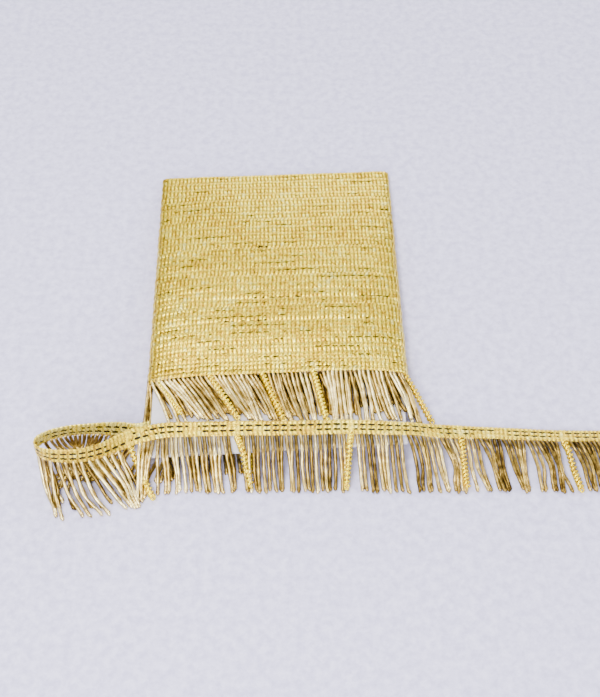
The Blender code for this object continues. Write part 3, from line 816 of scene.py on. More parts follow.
def wrap_turn(obj, count, plain_edge, rise, rng):
    """Bend a straight knitted length round the hank, its plain edge at a place along the axis."""
    straight = vertex_array(obj)
    ahead = straight[:, 0] + RIB / 2
    for size, wave, spread in TURN_DRIFT:
        ahead = ahead + size * MM * np.sin(ahead / (wave * MM) + rng.uniform(0.0, spread))
    share = np.clip(ahead / (count * RIB), 0.0, 1.0)
    back = 0.5 - straight[:, 1] / HEADING_WIDTH         # 1 at the plain edge, 0 at the fringed edge
    phases = rng.uniform(0.0, 2 * math.pi, 4)
    wander = sum(size * MM * np.sin(halves * math.pi * share + phase)
                 for (size, halves), phase in zip(TURN_WANDER, phases))
    lift = TURN_LIFT[0] * MM * np.sin(TURN_LIFT[1] * math.pi * share + phases[3])
    lift = lift * np.sin(2 * math.pi * share)
    front_edge = plain_edge - HEADING_WIDTH
    along = np.clip(front_edge + HEADING_WIDTH * back, 0.0, HANK_LENGTH)
    places, ways = [], []
    for edge in (front_edge, plain_edge):
        shares, line, way_out, _ = outline_table(min(max(edge, 0.0), HANK_LENGTH))
        places.append(read_rows(share, shares, line))
        ways.append(read_rows(share, shares, way_out))
    middle = places[0] + (places[1] - places[0]) * back[:, None]
    way = unit(ways[0] + (ways[1] - ways[0]) * back[:, None])
    depth = straight[:, 2] * (1.0 + rng.normal(0.0, THICKNESS_SPREAD, len(straight)))
    proud = EDGE_PROUD + rise * (1.0 - back) + lift
    outer = middle + way * (proud + depth)[:, None]
    along = np.clip(along + wander, 0.0, HANK_LENGTH)
    bent = hank_place(outer[:, 0], along, np.maximum(LEAST_TURN_HEIGHT, outer[:, 1]))
    dashes = np.interp(plain_edge / HANK_LENGTH, *DASHES_ALONG)
    mark_hollows(obj, straight, dashes, rng, show=TURN_THREAD)
    set_vertices(obj, bent - BOX_CENTRE)


def turn_edges(rng):
    """Places of the turns' plain edges along the axis: the first whole, then two rows each."""
    shown = 1.0 + rng.uniform(-0.17, 0.17, TURNS - 1)
    shown = shown / shown.sum() * (HANK_LENGTH - FIRST_TURN)
    return np.concatenate([[FIRST_TURN], FIRST_TURN + np.cumsum(shown)])


def flatten_underside(obj):
    """Dissolve the lines of the face that lies against the layer below."""
    def lies_below(edge):
        first, second = (obj.data.vertices[index].co for index in edge.vertices)
        below = first.z < 0.0 and second.z < 0.0
        inner = max(abs(first.y), abs(second.y)) < HEADING_WIDTH / 2 - 0.1 * MM
        return below and inner and near(first.y, second.y)

    select_only(obj)
    bpy.ops.object.mode_set(mode="EDIT")
    pick(obj, "EDGE", lies_below)
    bpy.ops.mesh.dissolve_edges(use_verts=True)
    bpy.ops.object.mode_set(mode="OBJECT")


turn_repeat = knit_repeat("turn_repeat", TURN_LINES)
flatten_underside(turn_repeat)
print("repeat of a turn: %d faces" % len(turn_repeat.data.polygons))

winding_rng = np.random.default_rng(11)
edges = turn_edges(winding_rng)
turns = []
for index, plain_edge in enumerate(edges):
    count = round(outline_table(plain_edge)[3] / RIB)
    source = repeat if index == 0 else turn_repeat
    turn = knit_length(source, "turn_%02d" % index, count)
    wrap_turn(turn, count, plain_edge, FIRST_SUNK if index == 0 else EDGE_SUNK, winding_rng)
    weld_and_close(turn)
    turns.append(turn)
for name, members in (("winding_near", turns[:NEAR_TURNS]), ("winding_far", turns[NEAR_TURNS:])):
    finish_piece(join_pieces(name, members), winding_gold, ["wound_hank"])
print("turns: %d, showing %.1f to %.1f mm each" % (
    TURNS, np.diff(edges).min() * 1000, np.diff(edges).max() * 1000))

# %% [markdown]
# ## The body of the winding
#
# Between the turns' headings and the card lie all the strands of the turns, pressed flat. Only
# the two ends of that packing can be seen, so it is one closed form just inside the turns, with
# a slot for the card, in a dark brown gold that paints the shade inside the packing.

# %% The body of the winding
BODY_INSET = 2.1 * MM
BODY_SIDES, BODY_SECTIONS = 72, 12
BODY_ENDS = (1.4 * MM, HANK_LENGTH - 1.2 * MM)      # along the axis
BODY_COVER = 0.5 * MM                               # the least that lies over and under the card
BODY_SIDE, BODY_FLOOR = 1.0 * MM, 0.4 * MM          # inside the turns' sides, and over the table
SHADED_BODY_TONES = ((0.30, (0.16, 0.09, 0.03)), (0.55, (0.42, 0.29, 0.12)), (0.75, (0.62, 0.48, 0.26)))


def winding_body_sections():
    """Outer sections of the packing along the axis, and the card slot's two sections."""
    angle = np.linspace(0.0, 2 * math.pi, BODY_SIDES, endpoint=False)
    sections = []
    for along in np.linspace(*BODY_ENDS, BODY_SECTIONS):
        across, height = hank_outline(angle, along, -BODY_INSET)
        low = card_underside(along) - BODY_COVER
        high = card_underside(along) + CARD_THICKNESS + BODY_COVER
        height = np.where(np.sin(angle) > 0.0, np.maximum(height, high), np.minimum(height, low))
        across = np.clip(across, BODY_SIDE - HANK_HALF_WIDTH_END, HANK_HALF_WIDTH_END - BODY_SIDE)
        height = np.where(np.sin(angle) > 0.0, height, np.maximum(height, BODY_FLOOR))
        sections.append(hank_place(across, along, height))
    for along in reversed(BODY_ENDS):
        across = np.clip(HANK_HALF_WIDTH_END * np.cos(angle), -CARD_HALF_WIDTH - GAP, CARD_HALF_WIDTH + GAP)
        middle = card_underside(along) + CARD_THICKNESS / 2
        level = np.sign(np.round(np.sin(angle), 6))
        sections.append(hank_place(across, along, middle + level * (CARD_THICKNESS / 2 + GAP / 2)))
    return sections


def mesh_object(name, places, faces):
    """A new object from places in the plan's own frame, moved to the CAD box's centre."""
    mesh = bpy.data.meshes.new(name)
    mesh.from_pydata((places - BOX_CENTRE).tolist(), [], faces)
    mesh.update()
    obj = bpy.data.objects.new(name, mesh)
    bpy.context.collection.objects.link(obj)
    return obj


def closed_loft(name, sections):
    """A ring of faces between each two sections, and from the last back to the first."""
    count = len(sections[0])
    faces = []
    for index in range(len(sections)):
        start, following = index * count, (index + 1) % len(sections) * count
        for side in range(count):
            turn_on = (side + 1) % count
            faces.append((start + side, start + turn_on, following + turn_on, following + side))
    return mesh_object(name, np.vstack(sections), faces)


body = closed_loft("winding_body", winding_body_sections())
weld_and_close(body)
# strands seen end on, with their shade painted in: dark brown gold, lined along the strands
packed_strands, tree, shader = new_material("packed_strands", 0.55, 0.45)
lines = stretched_noise(tree, object_coords(tree), (700.0, 60.0, 500.0), 3.0)
feed(tree, shader.inputs["Base Color"], colour_ramp(tree, lines, SHADED_BODY_TONES))
bump(tree, shader, lines, 0.6 * MM, 0.8)
finish_piece(body, packed_strands, ["wound_hank"])

# %% [markdown]
# ## One strand, and one crimped strand
#
# Every plain strand is the same twisted cord, so it is modelled once: an eight-sided rod is cut
# into short lengths, its sections are made a little oval and turned step by step into the
# twist, and its end is drawn in to the small folded tip. The crimped strand is a thick yarn
# coiled round a core, made from a circle by a Screw modifier, with a small ring at its end.

# %% The strand and the crimped strand, lying along X
STRAND_LENGTH = 36.0 * MM
STRAND_RADIUS = 1.14 * MM
STRAND_SIDES, STRAND_CUTS = 8, 18
STRAND_OVAL = (1.0, 1.04, 0.92)
TWIST_STEP = math.radians(35.0)
FOLD_SWELL, TIP_SHRINK = 1.15, 0.70          # where the strand is folded back, and at its tip
COIL_RADIUS = 1.42 * MM
COIL_YARN = 0.92 * MM
COIL_PITCH = 2.5 * MM
COIL_END, CORE_END = 3.4 * MM, 3.0 * MM      # how far before the strand's end the coil and core stop
COIL_SIDES, COIL_STEPS = 6, 9
CORE_RADIUS, CORE_CUTS = COIL_RADIUS * 0.6, 14
RING_RADIUS, RING_YARN, RING_BACK = 1.35 * MM, 0.65 * MM, 1.9 * MM


def begin_rod(name, sides, radius, length):
    """A rod along X from 0 to length."""
    select_only()
    bpy.ops.mesh.primitive_cylinder_add(vertices=sides, radius=radius, depth=length,
                                        location=(length / 2, 0.0, 0.0), rotation=(0.0, math.pi / 2, 0.0))
    rod = bpy.context.active_object
    rod.name = name
    bpy.ops.object.transform_apply()
    return rod


def model_strand():
    """A twisted strand: oval sections turned along it, and a drawn-in tip."""
    rod = begin_rod("strand_master", STRAND_SIDES, STRAND_RADIUS, STRAND_LENGTH)
    bpy.ops.object.mode_set(mode="EDIT")
    places = [STRAND_LENGTH * index / STRAND_CUTS for index in range(STRAND_CUTS + 1)]
    cut_planes(0, places[1:-1])
    for index, place in enumerate(places):
        centre = (place, 0.0, 0.0)
        pick(rod, "VERT", lambda point, place=place: near(point.co.x, place))
        scale_picked(STRAND_OVAL, centre)
        bpy.ops.transform.rotate(value=TWIST_STEP * index, orient_axis="X", center_override=centre)
        if index >= STRAND_CUTS - 1:
            size = TIP_SHRINK if index == STRAND_CUTS else FOLD_SWELL
            scale_picked((1.0, size, size), centre)
    bpy.ops.object.mode_set(mode="OBJECT")
    return rod


def model_crimped_strand():
    """A coil round a core, with a ring at the end."""
    select_only()
    bpy.ops.mesh.primitive_circle_add(vertices=COIL_SIDES, radius=COIL_YARN, fill_type="NOTHING",
                                      location=(COIL_RADIUS, 0.0, 0.0), rotation=(math.pi / 2, 0.0, 0.0))
    coil = bpy.context.active_object
    bpy.ops.object.transform_apply()
    apply_modifier(coil, "coil", "SCREW", axis="Z", iterations=int((STRAND_LENGTH - COIL_END) / COIL_PITCH),
                   screw_offset=COIL_PITCH, steps=COIL_STEPS, render_steps=COIL_STEPS,
                   use_smooth_shade=False)
    coil.rotation_euler = (0.0, math.pi / 2, 0.0)
    coil.location = (COIL_YARN, 0.0, 0.0)
    bpy.ops.object.transform_apply()
    core = begin_rod("crimped_core", COIL_SIDES, CORE_RADIUS, STRAND_LENGTH - CORE_END)
    bpy.ops.object.mode_set(mode="EDIT")
    cut_planes(0, [STRAND_LENGTH * step / CORE_CUTS for step in range(1, CORE_CUTS - 1)])
    bpy.ops.object.mode_set(mode="OBJECT")
    select_only()
    bpy.ops.mesh.primitive_torus_add(major_radius=RING_RADIUS, minor_radius=RING_YARN, major_segments=12,
                                     minor_segments=6, location=(STRAND_LENGTH - RING_BACK, 0.0, 0.0))
    ring = bpy.context.active_object
    bpy.ops.object.transform_apply()
    joined = join_pieces("crimped_master", [coil, core, ring])
    weld_and_close(joined, 0.001 * MM)
    return joined


strand_master = model_strand()
crimped_master = model_crimped_strand()
print("strand: %d faces, crimped strand: %d faces" % (
    len(strand_master.data.polygons), len(crimped_master.data.polygons)))

# %% [markdown]
# ## Bending copies along their routes
#
# Each strand has a route of a few points: out of the heading, down, and along the card or the
# table. A smooth curve goes through them, with even stations. A copy of the straight strand is
# bent along it: its X picks the station, and its Y and Z are laid off on two directions square
# to the curve that turn no more than the curve does. All copies of one stretch of fringe are
# one piece, with the place along the strand and round it kept as a map, and one tone for each
# strand, random within a range that also holds painted light and shade.

# %% Bending
STATIONS = 33                      # places along a bent strand
CURVE_STEPS = 12                   # places on its curve from one point of its route to the next
LEAST_HEIGHT = 0.02 * MM


def even_path(points):
    """A smooth curve through the points, at even stations."""
    curve = smooth_curve(np.array([list(point) for point in points], dtype=float), CURVE_STEPS)
    arc = arc_lengths(curve)
    return read_rows(np.linspace(0.0, arc[-1], STATIONS), arc, curve)


def carried_frames(centres, first_side):
    """Directions square to each curve, carried along it without twist."""
    tangents = unit(np.gradient(centres, axis=1))
    side = np.broadcast_to(first_side, centres[:, 0].shape)
    sides = []
    for station in range(centres.shape[1]):
        side = square_to(side, tangents[:, station])
        sides.append(side)
    sides = np.stack(sides, axis=1)
    return sides, np.cross(tangents, sides)


def surface_map(master):
    """For each face corner, the share round the strand and the share along it."""
    places = vertex_array(master)
    around = np.arctan2(places[:, 2], places[:, 1]) / (2 * math.pi)
    corners = []
    for face in master.data.polygons:
        turns_round = around[list(face.vertices)]
        turns_round = turns_round + (turns_round < turns_round.max() - 0.5)
        corners.extend(zip(turns_round, places[list(face.vertices), 0] / STRAND_LENGTH))
    return np.array(corners)


def bend_copies(name, master, paths, tones, rng):
    """One object of copies of the master, each bent along its own path and with its own tone."""
    straight = vertex_array(master)
    faces = [list(face.vertices) for face in master.data.polygons]
    corners = surface_map(master)
    centres = np.stack([even_path(path) for path in paths])
    sides, ups = carried_frames(centres, np.array((0.0, 0.0, 1.0)))
    station = np.clip(straight[:, 0] / STRAND_LENGTH, 0.0, 1.0) * (STATIONS - 1)
    low = np.minimum(station.astype(int), STATIONS - 2)
    share = (station - low)[None, :, None]

    def read(values):
        return values[:, low] * (1.0 - share) + values[:, low + 1] * share

    turned = rng.uniform(0.0, 2 * math.pi, len(paths))[:, None]
    cosine, sine = np.cos(turned), np.sin(turned)
    first = straight[None, :, 1] * cosine - straight[None, :, 2] * sine
    second = straight[None, :, 1] * sine + straight[None, :, 2] * cosine
    places = read(centres) + read(sides) * first[..., None] + read(ups) * second[..., None]
    places[..., 2] = np.maximum(places[..., 2], LEAST_HEIGHT)
    all_faces = [[index + copy * len(straight) for index in face]
                 for copy in range(len(paths)) for face in faces]
    obj = mesh_object(name, places.reshape(-1, 3), all_faces)
    strand_map = obj.data.uv_layers.new(name="strand_map")
    strand_map.data.foreach_set("uv", np.tile(corners, (len(paths), 1)).ravel())
    tone = obj.data.attributes.new("tone", "FLOAT", "POINT")
    tone.data.foreach_set("value", np.repeat(tones, len(straight)))
    return obj


print("stations along a strand: %d" % STATIONS)

# %% [markdown]
# ## The strands' finishes
#
# A plain strand is two plies of champagne metallic yarn, twisted hard. Along the map the twist
# is a slanting wave of bump every 2 mm, and the colour goes from cream to tan from strand to
# strand, at random, with painted shade on lower and hidden strands and a painted highlight on
# some. The crimped strand is the heading's gold, a little deeper, with fine yarn lines.

# %% Strand materials
CHAMPAGNE_TONES = ((0.02, (0.06, 0.032, 0.004)), (0.30, (0.28, 0.178, 0.034)),
                   (0.55, (0.54, 0.385, 0.110)), (0.84, (0.98, 0.83, 0.400)))
CRIMPED_TONES = ((0.10, (0.64, 0.41, 0.004)), (0.45, (0.90, 0.66, 0.010)), (0.80, (1.00, 0.82, 0.045)))
PLIES = 2


def twisted_yarn(name, stops, twists, roughness, metallic, depth):
    """Metallic yarn with its twist as a slanting bump, toned strand by strand."""
    material, tree, shader = new_material(name, roughness, metallic)
    coords = object_coords(tree)
    blotches = math_node(tree, "SUBTRACT", noise(tree, coords, 260.0, 3.0), 0.2)
    toned = math_node(tree, "MULTIPLY_ADD", kept_value(tree, "tone"), 0.45, blotches)
    feed(tree, shader.inputs["Base Color"], colour_ramp(tree, toned, stops))
    strand_map = add_node(tree, "UVMap", uv_map="strand_map").outputs["UV"]
    shares = add_node(tree, "SeparateXYZ", Vector=strand_map).outputs
    slant = math_node(tree, "MULTIPLY_ADD", shares["Y"], twists, shares["X"])
    wave = math_node(tree, "SINE", math_node(tree, "MULTIPLY", slant, 2 * math.pi * PLIES))
    fine = bump(tree, shader, wave, depth, 0.8)
    bump(tree, shader, noise(tree, coords, 1900.0, 2.0), 0.03 * MM, 0.25, fine)
    return material


champagne = twisted_yarn("champagne_strand", CHAMPAGNE_TONES, twists=9.0, roughness=0.28,
                         metallic=0.93, depth=0.022 * MM)
crimped_gold = twisted_yarn("crimped_gold", CRIMPED_TONES, twists=34.0, roughness=0.27,
                            metallic=0.86, depth=0.06 * MM)
print("strand finishes:", champagne.name, crimped_gold.name)

# %% [markdown]
# ## The free run's fringe
#
# A strand hangs from the heading's fringed edge. Where the heading lies on the card the strand
# lies on it too, bends over the card's front edge and runs down to the table. Elsewhere it
# falls to the table at once. In both cases its last few millimetres lie level. The strands
# gather in small groups that are combed together: each group has its own bend, and its tips
# draw towards its middle. The loop's strands stand further apart, its front row has painted
# light, and a second row shows between those of its front, darker with painted shade. Every
# 66 mm or so there is a crimped strand.

# %% Where the strands leave the run
STRAND_PITCH = 2.85 * MM
TURN_PITCH = 4.6 * MM              # round the loop's turn
TURN_ROWS = (7, 14)                # the route's rows between which the loop turns
CRIMPED_PITCH = 4.0 * MM
CRIMPED_HALF = COIL_RADIUS + COIL_YARN
# the stretches of fringe, by the route's rows
FRINGE_STRETCHES = (
    (0, 3, "tucked"), (3, 8, "loop_back"), (8, 15, "loop_front"), (15, 20, "over_card"), (20, 26, "on_floor"))


def strand_roots(start, end):
    """Places along the run where strands leave, each with its crimped sweep or None."""
    turn_start, turn_end = (run.row_length[row] for row in TURN_ROWS)
    roots = []
    place = start
    while True:
        pitch = TURN_PITCH if turn_start < place < turn_end else STRAND_PITCH
        crimped = [(root * MM, turn) for root, turn in CRIMPED_ROOTS
                   if place <= root * MM - CRIMPED_PITCH / 2 < place + pitch]
        if place + (CRIMPED_PITCH if crimped else pitch) > end:
            return roots
        if crimped:
            roots.append((crimped[0][0], math.radians(crimped[0][1])))
            place = crimped[0][0] + CRIMPED_PITCH / 2
        else:
            roots.append((place + pitch / 2, None))
            place += pitch


# %% How a strand falls
UP = Vector((0.0, 0.0, 1.0))
EDGE_CLEARANCE = 1.1 * MM          # between the card's edge and the strands that bend over it
SIDE_MARGIN = 6.0 * MM             # strands this far beside the card still bend over its edge
BROW_BEFORE = 1.2 * MM             # the bend over the card's edge is this far in front of it
LEAST_REACH = 10.0 * MM
LANDING = 6.0 * MM                 # the length of a strand that lies level at its end
LANDING_LIFT = 0.25 * MM
LOW_DROP = 3.0 * MM                # under this height a strand just lies on the table
SLACK = 0.96                       # the share of its length that a hanging strand reaches
LEAN = 0.35                        # how far a strand leans out where it leaves the heading
FIRST_SHARE = 0.22                 # the share of its length that keeps the heading's direction
MIDDLE_SHARE, MIDDLE_DROP = 0.55, 0.62
BOW_FIRST, BOW_LAST, BOW_LAST_CARD = 0.6, 0.4, 0.7      # shares of the bow at a strand's two ends
TIP_FOLD, TIP_TURN = 0.7, 0.9      # mm ahead and to the side


def card_edge_at(x_place):
    """Y of the card's front edge at a place along X, or None beside the card."""
    left = hank_place(-CARD_HALF_WIDTH, CARD_FRONT - CARD_SKEW, 0.0)
    right = hank_place(CARD_HALF_WIDTH, CARD_FRONT + CARD_SKEW, 0.0)
    if not left[0] - SIDE_MARGIN < x_place < right[0] + SIDE_MARGIN:
        return None
    return left[1] + (right[1] - left[1]) * (x_place - left[0]) / (right[0] - left[0])


def folded_tip(tip, heading, rng, rest):
    """The strand's small folded end, turned a little to one side."""
    side = heading.cross(UP) * rng.uniform(-TIP_TURN, TIP_TURN) * MM
    end = tip + heading * TIP_FOLD * MM + side
    end.z = rest
    return end


def fall_path(root, across, sweep, length, rest, over_card, bow_size, rng):
    """Points of a strand: off the heading, over the card's edge if it has one, to the table."""
    heading = Vector((math.sin(sweep), -math.cos(sweep), 0.0))
    bow = heading.cross(UP) * bow_size
    edge = None
    if over_card:
        edge_y = hank_place(-CARD_HALF_WIDTH, CARD_FRONT, 0.0)[1]
        edge = card_edge_at(root.x + math.tan(sweep) * (root.y - edge_y))
    if edge is not None:
        first = root + heading * (root.y - edge + BROW_BEFORE)
        first.z = card_underside(CARD_FRONT) + CARD_THICKNESS + EDGE_CLEARANCE + rest
        left = length - (first - root).length
        drop = first.z - rest
        reach = max(LEAST_REACH, math.sqrt(max(0.0, left * left - drop * drop)))
        tip = first + heading * reach
        middle = first + heading * (reach - LANDING) * 0.5 + bow
        middle.z = rest + drop * 0.5
        landing = first + heading * (reach - LANDING * 0.7) + bow * BOW_LAST_CARD
        landing.z = rest + LANDING_LIFT
    else:
        drop = root.z - rest
        reach = math.sqrt(max(0.0, length * length - drop * drop)) * SLACK
        tip = root + heading * reach
        tip.z = rest
        lead = heading * (math.hypot(across.x, across.y) + LEAN)
        lead.z = across.z
        first = root + lead.normalized() * length * FIRST_SHARE + bow * BOW_FIRST
        first.z = max(rest, first.z)
        landing = tip - heading * LANDING + bow * BOW_LAST
        landing.z = rest + (0.3 * MM if drop > LOW_DROP else 0.0)
        middle = first.lerp(landing, MIDDLE_SHARE) + bow
        middle.z = rest if drop < LOW_DROP else max(rest, first.z + (rest - first.z) * MIDDLE_DROP)
    tip.z = rest
    return [root, first, middle, landing, tip, folded_tip(tip, heading, rng, rest)]


# %% The run's strands
# places along the run in mm, and the way the strands are combed there, in degrees
COMBED = np.array((
    (0, 4), (52, -8), (71, -36), (84, -42), (98, -40), (107, -16), (112, 40), (118, 72), (132, 66),
    (138, 24), (144, 16), (150, 20), (168, 34), (176, 42), (181, 38), (190, 28), (197, 22), (203, 6),
    (209, 0), (215, -3), (221, 5), (229, 8), (245, 10), (264, 5), (332, 3), (366, 9), (381, 12),
    (396, 9), (413, 14), (450, 10), (497, 12)), dtype=float)
# painted highlight and shade on the strands along the run: place along the run in mm, and tone added
PAINTED_LIGHT_ALONG_RUN = np.array((
    (190, 0.0), (204, 0.45), (240, 0.30), (265, -0.10), (366, -0.15), (378, 0.35), (408, 0.35),
    (422, -0.10), (497, -0.15)))
# lowest and highest tone of each stretch's strands, random between them; the ranges also hold
# painted light on the loop's front row and painted shade on the row under it
STRAND_TONES_AND_LIGHT = {"tucked": (-0.1, 0.5), "loop_back": (-0.2, 0.5), "loop_front": (0.55, 1.2),
                "loop_under": (-0.6, 0.1), "over_card": (-0.38, 0.95), "on_floor": (-0.45, 0.42)}
# how much each stretch's strands draw together in groups, swing as groups (degrees) and bend (mm)
GROUPING = {"over_card": (0.16, 1.2, 0.8), "loop_under": (0.10, 4.5, 1.2)}
LOOSE_GROUPING = (0.26, 2.8, 1.7)
GROUP_SIZES = (2, 6)               # from two to five strands
OWN_SWING, OWN_BEND = 1.2, 0.35    # and each strand's own spread, degrees and mm
USUAL_LENGTH, LENGTH_SPREAD = 0.98, (-0.04, 0.02)
# where a strand leaves and is held: share of the width across, and mm behind the heading
ROOT_ACROSS, ROOT_DEPTH = 0.53, 0.35
HELD_ACROSS, HELD_DEPTH = 0.36, 0.75
# the second row behind the loop's front: mm behind, share of the length, and how much sooner it starts
UNDER_DEPTH, UNDER_LENGTH, UNDER_START = 1.9, 0.90, 6.0 * MM


def combed_groups(places, rng, pull, swing, bend):
    """For each root: a sweep towards the middle of its group, and its bow. Radians and metres."""
    sweeps, bows = np.zeros(len(places)), np.zeros(len(places))
    first = 0
    while first < len(places):
        last = min(len(places), first + int(rng.integers(*GROUP_SIZES)))
        middle = places[first:last].mean()
        group_sweep, group_bow = math.radians(rng.normal(0.0, swing)), rng.uniform(-bend, bend) * MM
        for index in range(first, last):
            drawn = math.atan(pull * (middle - places[index]) / STRAND_LENGTH)
            sweeps[index] = drawn + group_sweep + math.radians(rng.normal(0.0, OWN_SWING))
            bows[index] = group_bow + rng.normal(0.0, OWN_BEND) * MM
        first = last
    return sweeps, bows


def run_paths(start, end, stretch, rng):
    """Routes of a stretch's plain strands and of its crimped ones, and the plain ones' tones."""
    plain, crimped_ones, tones = [], [], []
    over_card, under = stretch == "over_card", stretch == "loop_under"
    roots = strand_roots(start, end)
    places, acrosses, normals = run.at(np.array([root for root, _ in roots]))
    sweeps, bows = combed_groups(places[:, 0], rng, *GROUPING.get(stretch, LOOSE_GROUPING))
    for index, (length_along, own_sweep) in enumerate(roots):
        place, across, normal = (Vector(rows[index]) for rows in (places, acrosses, normals))
        length = STRAND_LENGTH * (USUAL_LENGTH + rng.uniform(*LENGTH_SPREAD))
        length = length * (UNDER_LENGTH if under else 1.0)
        behind = (UNDER_DEPTH if under else ROOT_DEPTH) * MM
        root = place + across * HEADING_WIDTH * ROOT_ACROSS - normal * behind
        held = place + across * HEADING_WIDTH * HELD_ACROSS - normal * HELD_DEPTH * MM
        if own_sweep is not None:
            crimped_ones.append([held] + fall_path(root, across, own_sweep, length, CRIMPED_HALF,
                                                   over_card, 0.0, rng))
            continue
        sweep = math.radians(np.interp(length_along, COMBED[:, 0] * MM, COMBED[:, 1])) + sweeps[index]
        plain.append([held] + fall_path(root, across, sweep, length, STRAND_RADIUS,
                                        over_card, bows[index], rng))
        # painted highlight and shade by place along the run, added to the strand's tone
        painted_light_here = np.interp(length_along, PAINTED_LIGHT_ALONG_RUN[:, 0] * MM, PAINTED_LIGHT_ALONG_RUN[:, 1])
        tones.append(rng.uniform(*STRAND_TONES_AND_LIGHT[stretch]) + painted_light_here)
    return plain, crimped_ones, tones


run_rng, under_rng = np.random.default_rng(23), np.random.default_rng(41)
fringes, crimped_runs = [], []
for first_row, last_row, stretch in FRINGE_STRETCHES:
    start, end = run.row_length[first_row] + GAP, run.row_length[last_row] - GAP
    plain, crimped_ones, tones = run_paths(start, end, stretch, run_rng)
    if stretch == "loop_front":
        under, _, under_tones = run_paths(start - UNDER_START, end, "loop_under", under_rng)
        plain, tones = plain + under, tones + under_tones
    fringe = bend_copies("strands_" + stretch, strand_master, plain, tones, run_rng)
    finish_piece(fringe, champagne, ["fringe_" + stretch])
    fringes.append(fringe)
    crimped_runs.extend(crimped_ones)
    print("%s: %d strands, %d crimped" % (stretch, len(plain), len(crimped_ones)))
run_crimped = bend_copies("crimped_on_run", crimped_master, crimped_runs,
                          run_rng.uniform(0.2, 1.0, len(crimped_runs)), run_rng)
finish_piece(run_crimped, crimped_gold,
             ["fringe_" + stretch for _, _, stretch in FRINGE_STRETCHES])

# %% [markdown]
# ## The hank's own fringe
#
# At the lower rim the last turn's strands lie on the card, combed to the right more at the
# left end. Under them show the shorter ends of the strands of the turns before, each about
# 7 mm further back, and with painted shade they fill the hank's rim with dark depth. At the
# sides the strands fall past the card to the table. Under the card a row of strands runs
# straight on, over the tucked end of the free run where that lies beneath them, with painted
# shade in their low tones.

# %% Strands at the hank's rim
RIM_FAN = np.array((               # across the hank in mm, sweep to the right in degrees
    (-80.0, -4.0), (-77.8, -2.0), (-76.2, 26.0), (-70.0, 36.0), (-45.0, 34.0), (-10.0, 24.0), (20.0, 15.0),
    (35.0, 6.0), (50.0, 7.0), (58.0, 16.0), (66.0, 18.0), (72.0, 20.0), (77.0, 25.0), (80.0, 30.0)))
RIM_SAMPLES = 800
RIM_ROOT = -0.6 * MM               # along the axis: just outside the rim
RIM_HELD, RIM_HELD_UP = 2.4 * MM, 0.3 * MM
RIM_REACH = 0.90                   # the share of its length that a bent strand reaches
RIM_SHARES = (0.33, 0.66, 0.92, 1.0)
RIM_FALL_POWER, RIM_FALL_SPEED = 1.3, 1.15
SIDE_FALL = 6.0 * MM               # beside the card a strand comes down over this length
RIM_JITTER, RIM_LENGTH_SPREAD = 0.3, (-1.5, 0.8)        # mm
# layers of strands at the rim: how far inside the outline, how much shorter, and how many
RIM_LAYERS = ((1.5, 0.0, 59), (3.3, 6.5, 52), (5.4, 13.0, 48), (7.2, 20.0, 40))
RIM_GROUPING = (0.35, 2.2, 1.2)
# lowest and highest tone of the layers' strands, the last for every lower layer: the lower
# layers are darker with painted shade
RIM_TONES_AND_SHADE = ((0.15, 1.1), (-0.4, 0.5), (-0.6, -0.2))
RIM_ENDS = (math.pi - 0.06, 0.06)  # the part of the outline that the strands leave, as angles
CRIMPED_ROOM = 2.6 * MM
# strands of lower layers that hang from the hank's left nose: height in mm, sweep in radians
NOSE_STRANDS = ((7.5, -0.03), (9.6, 0.08), (11.6, 0.0))
NOSE_ACROSS = -79.2 * MM
# crimped strands at the rim: across in mm, and the layer
RIM_CRIMPED = ((-41.0, 0), (22.0, 0), (-9.0, 0), (-72.0, 1), (79.0, 0))


def rim_places(low, high, count, inset):
    """Even places along the winding's rim between two angles, a little inside the outline."""
    angle = np.linspace(low, high, RIM_SAMPLES)
    across, height = hank_outline(angle, 0.0, -inset)
    height = np.maximum(height, inset)
    arc = np.concatenate([[0.0], np.cumsum(np.hypot(np.diff(across), np.diff(height)))])
    goals = (np.arange(count) + 0.5) / count * arc[-1]
    return np.interp(goals, arc, across), np.interp(goals, arc, height)


def rim_path(across, height, rest, length, rng, sweep_more=0.0, bow_size=0.0):
    """A strand from the rim: it fans to the right on the card, or falls past its side."""
    sweep = math.radians(np.interp(across, RIM_FAN[:, 0] * MM, RIM_FAN[:, 1])) + sweep_more
    held = Vector(hank_place(across, RIM_HELD, height + RIM_HELD_UP))
    root = Vector(hank_place(across, RIM_ROOT, height))
    heading = Vector((math.sin(sweep), -math.cos(sweep), 0.0))
    bow = heading.cross(UP) * bow_size
    on_card = CARD_THICKNESS + GAP + rest
    brow = CARD_HALF_WIDTH + EDGE_CLEARANCE
    points = [held, root]
    for share in RIM_SHARES:
        point = root + heading * length * RIM_REACH * share + bow * math.sin(math.pi * share)
        side, along = hank_coordinates(point)
        floor_height = card_underside(along) + on_card
        if abs(across) > CARD_HALF_WIDTH:
            floor_height = rest
        elif side > brow:
            floor_height += (rest - floor_height) * min(1.0, (side - brow) / SIDE_FALL)
        fallen = min(1.0, share ** RIM_FALL_POWER * RIM_FALL_SPEED)
        point.z = max(floor_height, root.z + (floor_height - root.z) * fallen)
        points.append(point)
    points.append(folded_tip(points[-1], heading, rng, points[-1].z))
    return points


